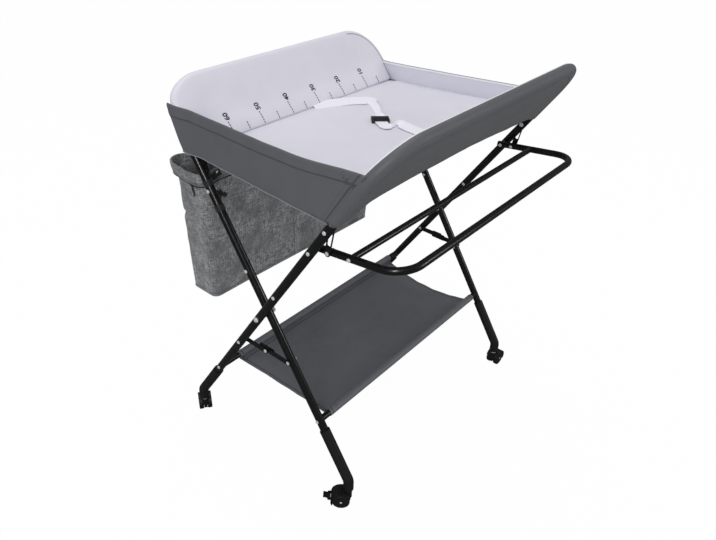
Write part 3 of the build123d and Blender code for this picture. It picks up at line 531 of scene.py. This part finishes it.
# %% Piping on the front wall
def rim_path(side, depth, inner, lift, lowest):
    """Points along the wall's rim at a depth from the outline, from one end up and round to the other."""
    w = WALL[side]
    half, top, radius = w["half"] - depth, w["top"] - depth, w["radius"] - depth
    spots = [(-half, lowest + (top - radius - lowest) * n / 8) for n in range(8)]
    spots += [(-half + radius - radius * cos(a), top - radius + radius * sin(a))
              for a in np.linspace(0, pi / 2, 20)]
    spots += [(x, top) for x in np.linspace(-half + radius, half - radius, 24)[1:-1]]
    spots += [(-x, s) for x, s in reversed(spots[:28])]
    return [wall_point(side, x, s, inner, lift) for x, s in spots]


piping = welt("front_wall_piping", rim_path(FRONT, 9.0, True, 0.6, along(911.0)), 1.5)
finish_piece(piping, piping_white, "front_frame")

# %% [markdown]
# The end walls are two layers of cloth with a thin pad between, sewn to both frames' sleeves. They lean
# inward a little towards the top, where a rolled hem keeps the edge stiff. Each is one strip that
# runs up outside, over the hem and down inside.


# %% Shape of an end wall
def crease(side, height, out=12.4):
    return leg_y(side, height) - side * out / cos(LEAN)


LOW_BACK, LOW_FRONT = crease(BACK, TRAY), crease(FRONT, TRAY)
END_LEAN, END_SEAM = radians(5.5), 22.0


def end_top(end, u):
    """Top of an end wall, from the back (u = 0) to the front, where the near one is drawn up."""
    back, front = END_TOP[end]
    return back + (front - back) * u - 2.5 * sin(pi * u) + (14.0 * smooth(0.7, 1.0, u) if end < 0 else 0.0)


def end_x(y, height):
    spread = (LEG_X[FRONT] - LEG_X[BACK]) * (LOW_BACK - y) / (LOW_BACK - LOW_FRONT)
    return LEG_X[BACK] + 6.0 + spread - (height - TRAY) * tan(END_LEAN)


def end_wall_point(end, u, height, out):
    """Point of an end wall: u from the back to the front, out of the tray by out."""
    y_back, y_front = crease(BACK, height, -10.5), crease(FRONT, height, 6.0)
    y = y_back + (y_front - y_back) * u
    out += (9.0 if end < 0 else 4.0) * smooth(0.13, 0.03, u)
    sag = 1.5 * ripple(y, height, end * 40, 80.0, 2.0) + 0.8 * ripple(y, height, end * 40, 26.0, 6.0)
    sag *= smooth(0.0, 0.08, u) * smooth(1.0, 0.92, u)
    return place(end * (end_x(y, height) + out + sag), y, height), y


def end_wall(end):
    low, hem = TRAY - 9.5, 3.6

    def lay(u, v):
        top, w = end_top(end, u), v * 4
        if w < 1.7:
            height, out = low + (top - hem - low) * w / 1.7, 2.2
        elif w < 2.3:
            turned = (w - 1.7) / 0.6 * pi
            height, out = top - hem + hem * sin(turned), hem * cos(turned) - 0.6
        else:
            height, out = top - hem - (top - hem - low) * (w - 2.3) / 1.7, -2.6
        plump = smooth(low, low + 25, height) * smooth(top - 8, top - 22, height)
        if w < 1.7:
            out += 1.6 * plump
            out += 1.4 * smooth(top - 24, top - 20, height)
        at, y = end_wall_point(end, u, height, out)
        lit = (w - 2.12) * 20
        along_front = (1 - u) * 440
        hem_seam = top - height - END_SEAM
        stitch = min(hem_seam, along_front - 9.0, along_front - 17.0, key=abs)
        if w > 2.0:
            stitch = 40.0
        return at, lit, stitch, y if abs(stitch) == abs(hem_seam) else height

    return lay


# %% End walls and their piping
for end, label in ((-1, "left"), (1, "right")):
    wall = sew(f"end_wall_{label}", lay_grid(f"end_wall_{label}", 70, 56, end_wall(end)))
    select_only(wall)
    bpy.ops.object.mode_set(mode="EDIT")
    bpy.ops.mesh.select_all(action="SELECT")
    bpy.ops.mesh.region_to_loop()
    bpy.ops.mesh.edge_face_add()
    bpy.ops.mesh.select_all(action="SELECT")
    bpy.ops.mesh.normals_make_consistent(inside=False)
    bpy.ops.object.mode_set(mode="OBJECT")
    finish_piece(wall, wall_cloth)
    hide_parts(f"end_panel_{label}")
    inner_edge = [end_wall_point(end, u, end_top(end, u) - 4.2, -3.9)[0] for u in np.linspace(0, 1, 50)]
    top_piping = welt(f"end_piping_{label}", inner_edge, 1.4)
    finish_piece(top_piping, piping_white)
    low_edge = [end_wall_point(end, u, TRAY - 9.0, 2.6)[0] for u in np.linspace(0, 1, 50)]
    low_piping = welt(f"end_binding_{label}", low_edge, 1.2)
    finish_piece(low_piping, binding_grey)
    for piece in (wall, top_piping, low_piping):
        place(0, LOW_BACK, TRAY)
        place(0, LOW_FRONT, TRAY)
        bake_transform(piece)
    print("end wall", label, len(wall.data.polygons), "faces")

# %% [markdown]
# The tray floor is a firm pad under the lining. Its top is flat and dips at the creases where it is
# sewn to the walls; underneath, the dark cloth closes it. At the front it is drawn up and out to the
# front wall's lower edge, which runs higher between the legs.


# %% Tray floor
FLOOR_HALF = leg_y(BACK, TRAY) - 5.0


def floor_face(top):
    def lay(u, v):
        share_x, share_y = sin(pi / 2 * (2 * u - 1)), sin(pi / 2 * (2 * v - 1))
        y = share_y * FLOOR_HALF
        half = end_x(y, TRAY) - 1.5
        x = share_x * half
        edge = min(half - abs(x), FLOOR_HALF - abs(y))
        dip = (2.0 if y > 0 else 5.0) * (1 - smooth(0.0, 16.0, edge))
        soft = 0.9 * ripple(x, y, 0, 120.0, 1.0) + 0.25 * ripple(x, y, 0, 35.0, 4.0)
        rise = max(wall_low(FRONT, x) - LOW, 0.0) + 3.0
        lift = rise * cos(LEAN) * smooth(-180.0, -220.0, y)
        reach = (rise * sin(LEAN) + 2.5) * smooth(-130.0, -220.0, y)
        lift = max(lift, 14.0 * smooth(200.0, 350.0, x) * smooth(140.0, -160.0, y) if top else 0.0)
        height = TRAY + 0.3 - dip + soft * smooth(2.0, 30.0, edge) - 6.0 * smooth(170.0, 214.0, y)
        if not top:
            height = TRAY - 9.0 + 4.0 * (1 - smooth(0.0, 10.0, edge))
        if edge < 0.01:
            height = TRAY - 4.8
        height += lift
        return place(x, y - reach, height), 1.0 if top else -1.0, 40.0, x

    return lay


tray_floor = sew("tray_floor", *[lay_grid(f"floor_{n}", 70, 50, floor_face(n == 0)) for n in (0, 1)])
finish_piece(tray_floor, wall_cloth)
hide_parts("tray_base")
place(0, LOW_BACK, TRAY)
place(0, LOW_FRONT, TRAY)
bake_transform(tray_floor)
print("tray floor", len(tray_floor.data.polygons), "faces")

# %% [markdown]
# A ruler for the baby's length is printed on the back wall: a dashed mark every five centimetres and
# its number, set on end, every ten. The marks are drawn flat and laid on the wall's own face,
# a quarter of a millimetre above it, as ink is.

# %% Ruler
dash_long, dash_gap, dash_wide = 4.6, 2.2, 2.2
ruler_start, mark_step, ink_lift, number_rise = 345.0, 48.35, 0.25, 35.5
ink_pieces = []
for mark in range(1, 13):
    x = ruler_start - mark_step * mark
    dashes = 5 if mark % 2 == 0 else 3
    for n in range(dashes):
        bpy.ops.object.select_all(action="DESELECT")
        bpy.ops.mesh.primitive_grid_add(x_subdivisions=1, y_subdivisions=3, size=1.0)
        dash = bpy.context.object
        low = LOW - 9.0 + n * (dash_long + dash_gap)
        for vertex in dash.data.vertices:
            spot_x, spot_s = x + vertex.co.x * dash_wide, low + (vertex.co.y + 0.5) * dash_long
            vertex.co = wall_point(BACK, spot_x, spot_s, True, ink_lift)
        ink_pieces.append(dash)
    if mark % 2 == 0:
        bpy.ops.object.select_all(action="DESELECT")
        bpy.ops.object.text_add()
        number = bpy.context.object
        number.data.body = str(mark * 5)
        number.data.size = 19.0
        number.data.resolution_u = 4
        number.data.offset = 0.5
        number.data.align_x = "CENTER"
        number.data.align_y = "CENTER"
        bpy.ops.object.convert(target="MESH")
        number = bpy.context.object
        number.data.transform(Matrix.Translation((LOW + number_rise, 0, 0)))
        for vertex in number.data.vertices:
            vertex.co = wall_point(BACK, x + 3.5 - vertex.co.y, vertex.co.x, True, ink_lift)
        ink_pieces.append(number)
ruler = sew("ruler_print", *ink_pieces, weld_mm=0.001)
apply_modifier(ruler, "SOLIDIFY", thickness=0.15 * MM, offset=0.0)
finish_piece(ruler, print_ink, "back_frame")
print("ruler with", len(ruler.data.polygons), "faces")

# %% [markdown]
# The sling shelf is one sheet of the dark cloth. Each long side is folded round a stretcher tube and
# sewn back on itself; the short sides are cut hollow so that they don't flap. It sags a little
# under its own weight and has shallow folds that fan out from the tubes' ends.

# %% Sling shelf
SHELF, REACH = 228.0, abs(leg_y(BACK, 228.0))
SLING_HEM, SLING_SAG, SLING_SEAM = 9.6, 23.0, 26.0


def sling_lay(u, v):
    if v < 0.2 or v > 0.8:
        side = -1 if v < 0.5 else 1
        turned = (v if v < 0.5 else 1 - v) / 0.2 * radians(352)
        angle = -pi / 2 + side * turned
        y = side * REACH + SLING_HEM * cos(angle)
        z = SHELF + SLING_HEM * sin(angle)
        flat = 12.0
    else:
        w = (v - 0.2) / 0.6
        y = -REACH + 2 * REACH * w
        z = SHELF - SLING_HEM - SLING_SAG * (1 - (2 * w - 1) ** 2)
        flat = (REACH - abs(y)) + 12.0
    share = (y + REACH) / (2 * REACH)
    hollow = 1 - (2 * share - 1) ** 2
    half = 317.0 + 6.0 * share - 19.0 * hollow if u < 0.5 else 326.0 + 6.0 * share - 5.0 * hollow
    x = (2 * u - 1) * half
    deep = smooth(12.0, 60.0, flat)
    z += deep * (2.2 * ripple(x * 0.35, y * 1.4, 0, 42.0, 7.0) + 0.8 * ripple(x, y, 0, 22.0, 9.0))
    edge = half - abs(x)
    stitch = min(edge - 8.0, flat - SLING_SEAM, key=abs)
    return place(x, y, z), -1.0, stitch, x if abs(flat - SLING_SEAM) < abs(edge - 8.0) else y


sling = lay_grid("sling_shelf", 90, 120, sling_lay)
apply_modifier(sling, "SOLIDIFY", thickness=1.4 * MM, offset=-1.0)
finish_piece(sling, shelf_cloth_lightened_for_shade, angle=60)
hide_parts("shelf_sling")
place(0, -REACH, SHELF)
place(0, REACH, SHELF)
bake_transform(sling)
print("sling", len(sling.data.polygons), "faces")

# %% [markdown]
# The side bag is a sewn box of linen whose rim is folded out and down as a cuff. One strip of grid goes
# up the outside, over the rim and down the cuff, and round the bag; Solidify gives the cloth its
# thickness. It is limp, so its rim sags between the straps and its faces have soft dents.

# %% Shape of the bag
BAG_LEFT, BAG_LONG, BAG_NEAR, BAG_DEEP = -336.0, 625.0, 216.0, 104.0
BAG_TOP, BAG_LOW, CUFF = 751.0, 392.0, 30.0


def ring_point(t, grow, radius):
    """Point and outward direction on the bag's rounded outline; t runs once round it."""
    half_x, half_y = BAG_LONG / 2 + grow, BAG_DEEP / 2 + grow
    radius += grow
    sides = (2 * (half_y - radius), pi / 2 * radius, 2 * (half_x - radius), pi / 2 * radius)
    total = 2 * sum(sides)
    run = (t % 1.0) * total
    flip = 1
    if run >= total / 2:
        run, flip = run - total / 2, -1
    corner_x, corner_y = half_x - radius, half_y - radius
    if run < sides[0]:
        x, y, nx, ny = -half_x, corner_y - run, -1.0, 0.0
    elif run < sides[0] + sides[1]:
        a = (run - sides[0]) / radius
        nx, ny = -cos(a), -sin(a)
        x, y = -corner_x + radius * nx, -corner_y + radius * ny
    elif run < sides[0] + sides[1] + sides[2]:
        x, y, nx, ny = -corner_x + run - sides[0] - sides[1], -half_y, 0.0, -1.0
    else:
        a = (run - sides[0] - sides[1] - sides[2]) / radius
        nx, ny = sin(a), -cos(a)
        x, y = corner_x + radius * nx, -corner_y + radius * ny
    return flip * x, flip * y, flip * nx, flip * ny


def rim_sag(x, y):
    """How far the rim hangs: between the two straps of an end, and along the far side."""
    near_end = smooth(-270, -330, x)
    sag = 15.0 * near_end * smooth(50.0, -30.0, y)
    sag += 7.0 * (1 - near_end) * (0.5 + 0.5 * ripple(x, y, 0, 90.0, 4.0))
    return sag


def bag_point(t, height, grow, radius=22.0):
    """Point of the bag's cloth at a height, grown outward by grow."""
    share = (height - BAG_LOW) / (BAG_TOP - BAG_LOW)
    x, y, nx, ny = ring_point(t, -7.0 * (1 - share), radius)
    belly = sin(pi * min(max(share, 0), 1))
    soft = 3.2 * ripple(x + 9, y * 2, height * 0.35, 55.0, 2.0) + 1.2 * ripple(x, y, height, 22.0, 5.0)
    dent = -4.0 * math.exp(-((height - 635.0 + 0.25 * (y + 50)) / 7.0) ** 2) * smooth(-255, -300, x)
    long_face = -5.0 * belly * (1 - smooth(200, 300, abs(x))) if abs(ny) > 0.5 else 3.0 * belly
    flare = 13.0 * smooth(0.84, 1.0, share) * smooth(-240.0, -300.0, x) * smooth(-50.0, 40.0, y)
    push = (soft * min(share * 6, 1.0) + dent) + long_face * 0.6 + grow + flare
    sag = rim_sag(x, y) * smooth(0.55, 1.0, share)
    middle_x, middle_y = BAG_LEFT + BAG_LONG / 2, BAG_NEAR + BAG_DEEP / 2
    sag += (1 - smooth(0.0, 0.5, share)) * (4.0 + 8.0 * smooth(-200.0, 300.0, x))
    return place(middle_x + x + nx * push, middle_y + y + ny * push, height - sag), x, y


def bag_lay(u, v):
    w = v * 10
    if w < 1.0:
        inward = 40.0 * (1 - w) ** 2
        at, x, y = bag_point(u, BAG_LOW + 6.0 * (1 - cos(w * pi / 2)) - 0.5, -inward)
        height, wide = BAG_LOW, inward
    elif w < 7.6:
        height = BAG_LOW + 6.0 + (BAG_TOP - 3.0 - BAG_LOW - 6.0) * (w - 1.0) / 6.6
        at, x, y = bag_point(u, height, 0.0)
    elif w < 8.4:
        a = (w - 7.6) / 0.8 * pi
        height = BAG_TOP - 3.0 + 3.0 * sin(a)
        at, x, y = bag_point(u, height, 2.6 - 2.6 * cos(a))
    else:
        share = (w - 8.4) / 1.6
        height = BAG_TOP - 3.0 - (CUFF - 3.0) * share
        flare = 5.2 + 2.0 * share + 1.5 * share * ripple(u * 1400, 0, height, 60.0, 12.0)
        at, x, y = bag_point(u, height, flare)
    stitch = 40.0
    if w < 7.6:
        stitch = min(height - BAG_LOW - 9.0, x + 20.0 if abs(y) > 40 else 40.0, key=abs)
    elif w > 8.4:
        stitch = height - (BAG_TOP - CUFF + 5.0)
    return at, -1.0, stitch, x + y + height


bag = sew("bag_cloth", lay_grid("bag_cloth", 250, 90, bag_lay))
select_only(bag)
bpy.ops.object.mode_set(mode="EDIT")
bpy.ops.mesh.select_all(action="DESELECT")
bpy.ops.object.mode_set(mode="OBJECT")
low_edge = min(v.co.z for v in bag.data.vertices) + 2.5 * MM
edges = {}
for face in bag.data.polygons:
    for key in face.edge_keys:
        edges[key] = edges.get(key, 0) + 1
for edge in bag.data.edges:
    if edges[edge.key] == 1 and all(bag.data.vertices[i].co.z < low_edge for i in edge.vertices):
        edge.select = True
bpy.ops.object.mode_set(mode="EDIT")
bpy.ops.mesh.select_mode(type="EDGE")
bpy.ops.mesh.edge_face_add()
bpy.ops.mesh.select_all(action="SELECT")
bpy.ops.mesh.normals_make_consistent(inside=False)
bpy.ops.mesh.select_mode(type="VERT")
bpy.ops.object.mode_set(mode="OBJECT")
apply_modifier(bag, "SOLIDIFY", thickness=1.6 * MM, offset=-1.0)
finish_piece(bag, finishes["heather_cloth"], "back_frame", angle=60)
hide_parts("bag_shell")
print("bag", len(bag.data.polygons), "faces")

# %% Binding of the cuff and piping of the bag's bottom
round_bag = [n / 240 for n in range(240)]
cuff_cord = welt("cuff_binding", [bag_point(t, BAG_TOP - CUFF - 1.0, 7.0)[0] for t in round_bag], 1.7, True)
finish_piece(cuff_cord, finishes["black_webbing"], "back_frame")
bottom_cord = welt("bag_bottom_piping", [bag_point(t, BAG_LOW + 3.0, 0.8)[0] for t in round_bag], 1.7, True)
finish_piece(bottom_cord, binding_grey, "back_frame")


# %% [markdown]
# Flat straps are ribbons: a centre line, a width, and a side to face. The belt lies on the tray floor
# and folds over where it turns; the bag's straps go round the legs.


# %% Ribbons
def ribbon(name, centre, facing, width_mm, thick_mm, along_steps, across_steps=8):
    """A webbing strip; centre(t) is a point in metres, facing(t) its outward side, width_mm(t) its width."""
    spots = [centre(n / along_steps) for n in range(along_steps + 1)]
    runs = [0.0]
    for a, b in zip(spots, spots[1:]):
        runs.append(runs[-1] + (b - a).length / MM)

    def lay(u, v):
        n = round(u * along_steps)
        ahead = spots[min(n + 1, along_steps)] - spots[max(n - 1, 0)]
        side_way = ahead.cross(facing(u)).normalized()
        across = (v - 0.5) * width_mm(u)
        return spots[n] + side_way * across * MM, -1.0, across, runs[n]

    piece = lay_grid(name, along_steps, across_steps, lay)
    apply_modifier(piece, "SOLIDIFY", thickness=thick_mm * MM, offset=0.0)
    return piece


def polyline(points, rounding):
    """Function of t along a path through points, with its corners eased."""
    spots = [Vector(p) for p in points]
    for _ in range(rounding):
        eased = [spots[0]]
        for a, b in zip(spots, spots[1:]):
            eased += [a.lerp(b, 0.25), a.lerp(b, 0.75)]
        spots = eased + [spots[-1]]
    lengths = [0.0]
    for a, b in zip(spots, spots[1:]):
        lengths.append(lengths[-1] + (b - a).length)

    def at(t):
        goal = min(max(t, 0.0), 1.0) * lengths[-1]
        for n in range(1, len(lengths)):
            if goal <= lengths[n] + 1e-12:
                part = (goal - lengths[n - 1]) / max(lengths[n] - lengths[n - 1], 1e-12)
                return spots[n - 1].lerp(spots[n], part)
        return spots[-1]

    return at


# %% [markdown]
# The belt is one strap from each crease. The back one lies flat, folds over near the middle of the
# tray and runs down to the buckle half on its edge; the front one makes a small loop under the buckle
# before it goes to its own crease.

# %% Belt
FLAT = TRAY + 1.6


def belt_strap(name, node, route, widths, tilts):
    """A belt strap through floor points (x, y, rise); widths and tilts are (t, value) along it."""
    path = polyline([place(x, y, FLAT + rise) for x, y, rise in route], 3)

    def facing(t):
        run = path(min(t + 0.01, 1.0)) - path(max(t - 0.01, 0.0))
        side_way = Vector((run.y, -run.x, 0.0)).normalized()
        lean_over = radians(float(np.interp(t, *zip(*tilts))))
        return Vector((0, 0, 1)) * cos(lean_over) + side_way * sin(lean_over)

    piece = ribbon(name, path, facing, lambda t: float(np.interp(t, *zip(*widths))), 1.5, 90)
    finish_piece(piece, finishes["white_webbing"])
    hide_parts(node)
    place(0, LOW_BACK, TRAY)
    place(0, LOW_FRONT, TRAY)
    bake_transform(piece)
    return piece


belt_strap("belt_back_webbing", "belt_strap_back",
           ((29, 213, -4), (38, 208, -3), (106, 171, 1), (148, 136, 1), (154, 124, 2), (120, 80, 5), (84, 42, 5),
            (70, 28, 3)), ((0, 52), (0.52, 52), (0.62, 20), (0.93, 18), (1, 34)),
           ((0, 0), (0.55, 0), (0.68, 42), (0.92, 42), (1, 0)))
belt_strap("belt_front_webbing", "belt_strap_front",
           ((54, 12, 3), (44, -4, 3), (36, -17, 2), (50, -27, 4), (72, -22, 4), (79, -30, 3), (73, -60, 1),
            (70, -100, 1), (60, -160, 1), (53, -200, 4), (50, -222, 18), (49, -238, 30)),
           ((0, 30), (0.12, 28), (0.16, 9), (0.23, 9), (0.3, 38), (1, 38)),
           ((0, 0), (0.13, 0), (0.17, 50), (0.22, 50), (0.29, 0), (1, 0)))
print("belt laid")

# %% [markdown]
# The bag hangs on two straps at each end. Each goes round its leg and lies along the bag's face up to a
# press stud. A thin black drawcord is tied under the cuff at the near end, and a knotted tape hangs
# beside the near leg.


# %% Straps of the bag
def bag_face(height):
    """y of the bag's face towards the legs."""
    share = (height - BAG_LOW) / (BAG_TOP - BAG_LOW)
    return BAG_NEAR + 7.0 * (1 - share)


def bag_strap(end, height):
    leg_at = Vector((end * LEG_X[BACK], leg_y(BACK, height), height))
    bag_x = BAG_LEFT if end < 0 else BAG_LEFT + BAG_LONG
    tail = Vector((bag_x - end * 44.0, bag_face(height) - 9.0, height))
    turns = []
    for a in np.linspace(radians(70), radians(-250), 26):
        flat = Vector((11.2 * cos(a) * -end, 11.2 * sin(a), 0))
        turns.append(leg_at + Vector((flat.x, flat.y * cos(LEAN), -flat.y * sin(LEAN))))
    spots = turns + [tail.lerp(turns[-1], 0.35) + Vector((0, 1.5, 0)), tail]
    path = polyline([place(*at) for at in spots], 1)
    leg_way = Vector((0, sin(LEAN), cos(LEAN)))

    def facing(t):
        run = path(min(t + 0.02, 1.0)) - path(max(t - 0.02, 0.0))
        return run.cross(leg_way).normalized()

    return ribbon(f"strap_{end}_{height:.0f}", path, facing, lambda t: 14.0, 1.4, 60, 6)


straps = sew("bag_straps_webbing",
             *[bag_strap(end, BAG_TOP - drop) for end in (-1, 1) for drop in (12.0, 62.0)])
finish_piece(straps, finishes["black_webbing"], "back_frame")
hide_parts("bag_straps")
print("bag straps", len(straps.data.polygons), "faces")


# %% Drawcord, its knots and the hanging tape
def knot(name, at, size_mm):
    """A tied lump of cord: a sphere pinched and dented in edit mode."""
    bpy.ops.object.select_all(action="DESELECT")
    bpy.ops.mesh.primitive_uv_sphere_add(segments=20, ring_count=12, radius=size_mm * MM)
    lump = bpy.context.object
    lump.name = name
    for vertex in lump.data.vertices:
        c = vertex.co / MM
        vertex.co *= 1.0 + 0.28 * ripple(c.x, c.y, c.z, size_mm * 0.8, 2.0)
    bpy.ops.object.mode_set(mode="EDIT")
    bpy.ops.mesh.select_all(action="SELECT")
    bpy.ops.transform.resize(value=(1.1, 0.8, 1.0), center_override=(0, 0, 0))
    bpy.ops.transform.translate(value=at)
    bpy.ops.object.mode_set(mode="OBJECT")
    return lump


def cord(name, points, radius_mm):
    path = polyline([place(*at) for at in points], 3)
    return welt(name, [path(n / 40) for n in range(41)], radius_mm)


drawcord = [cord("drawcord_tail", ((-340, 253, 707), (-343, 251, 698), (-341, 248, 688),
                                   (-343, 247, 679)), 2.0),
            cord("drawcord_end", ((-340, 253, 707), (-335, 248, 701), (-336, 244, 692)), 2.0),
            cord("drawcord_loop", ((-340, 253, 708), (-337, 244, 718), (-328, 237, 724), (-324, 234, 716),
                                   (-332, 240, 708), (-340, 252, 706)), 2.0),
            knot("drawcord_knot", place(-340, 253, 707), 5.0)]
drawcord = sew("bag_drawcord", *drawcord, weld_mm=0.001)
finish_piece(drawcord, finishes["black_webbing"], "back_frame", angle=60)
tape_path = polyline([in_frame(BACK, x, along_leg, -14.5) for x, along_leg in (
    (-322, 400), (-327, 372), (-333, 335), (-337, 308), (-330, 296), (-316, 290))], 2)
tape = ribbon("bag_tape", tape_path, lambda t: in_frame(BACK, 0, 0, -1) - in_frame(BACK, 0, 0, 0),
              lambda t: 14.0 - 5.0 * t, 1.4, 50, 4)
tape_knot = knot("tape_knot", in_frame(BACK, -312, 286, -16), 5.5)
tape = sew("bag_tape", tape, tape_knot, weld_mm=0.001)
finish_piece(tape, finishes["black_webbing"], "back_frame", angle=60)
print("drawcord", len(drawcord.data.polygons), "faces")

# %% [markdown]
# The studio is a white table in a bright room. The camera sees pure white round the table, and the
# glossy tubes see a darker room with one long lamp, so they are black with a single thin highlight.


# %% Studio
def seen_white(tree, dim, gloss):
    """(camera, strength): whether a ray comes from the camera, and the light for the other rays."""
    rays = add(tree, "LightPath")
    other = remap(tree, rays.outputs["Is Glossy Ray"], 0.0, 1.0, dim, gloss)
    return rays.outputs["Is Camera Ray"], other


bpy.ops.object.select_all(action="DESELECT")
bpy.ops.mesh.primitive_plane_add(size=60.0)
studio_floor = bpy.context.object
studio_floor.name = "studio_floor"
material, tree, shader = new_finish("painted_studio_floor", 0.9)
shader.inputs["Specular IOR Level"].default_value = 0.0
glow_share = 0.98
camera_ray, tone = seen_white(tree, 0.8, 0.1)
tree.links.new(between(tree, tone, (0, 0, 0, 1), (1, 1, 1, 1), "RGBA"), shader.inputs["Base Color"])
glow = add(tree, "Emission", {"Color": (1, 1, 1, 1), "Strength": 1.0})
floor_mix = add(tree, "MixShader", {0: maths(tree, "MULTIPLY", camera_ray, glow_share), 1: shader.outputs[0],
                                    2: glow.outputs[0]})
tree.links.new(floor_mix.outputs[0], tree.nodes["Material Output"].inputs[0])
studio_floor.data.materials.append(material)

world = bpy.data.worlds.new("studio")
bpy.context.scene.world = world
world.use_nodes = True
tree = world.node_tree
camera_ray, tone = seen_white(tree, 0.66, 0.12)
tree.links.new(between(tree, camera_ray, tone, 1.0), tree.nodes["Background"].inputs["Strength"])
tree.nodes["Background"].inputs["Color"].default_value = (1, 1, 1, 1)
for name, spot, aim, wide, long, power in (("key", (-2.6, -1.2, 2.6), (0, 0, 0.6), 0.4, 2.0, 38.0),
                                           ("fill", (1.8, -2.6, 1.6), (0, 0, 0.6), 0.8, 0.8, 11.0),
                                           ("top", (0.3, 1.0, 3.2), (0, 0, 0.7), 1.6, 1.6, 18.0)):
    lamp_data = bpy.data.lights.new(name, "AREA")
    lamp_data.shape = "RECTANGLE"
    lamp_data.size = wide
    lamp_data.size_y = long
    lamp_data.energy = power
    lamp = bpy.data.objects.new(name, lamp_data)
    bpy.context.scene.collection.objects.link(lamp)
    lamp.location = spot
    lamp.rotation_euler = (Vector(spot) - Vector(aim)).to_track_quat("Z", "Y").to_euler()
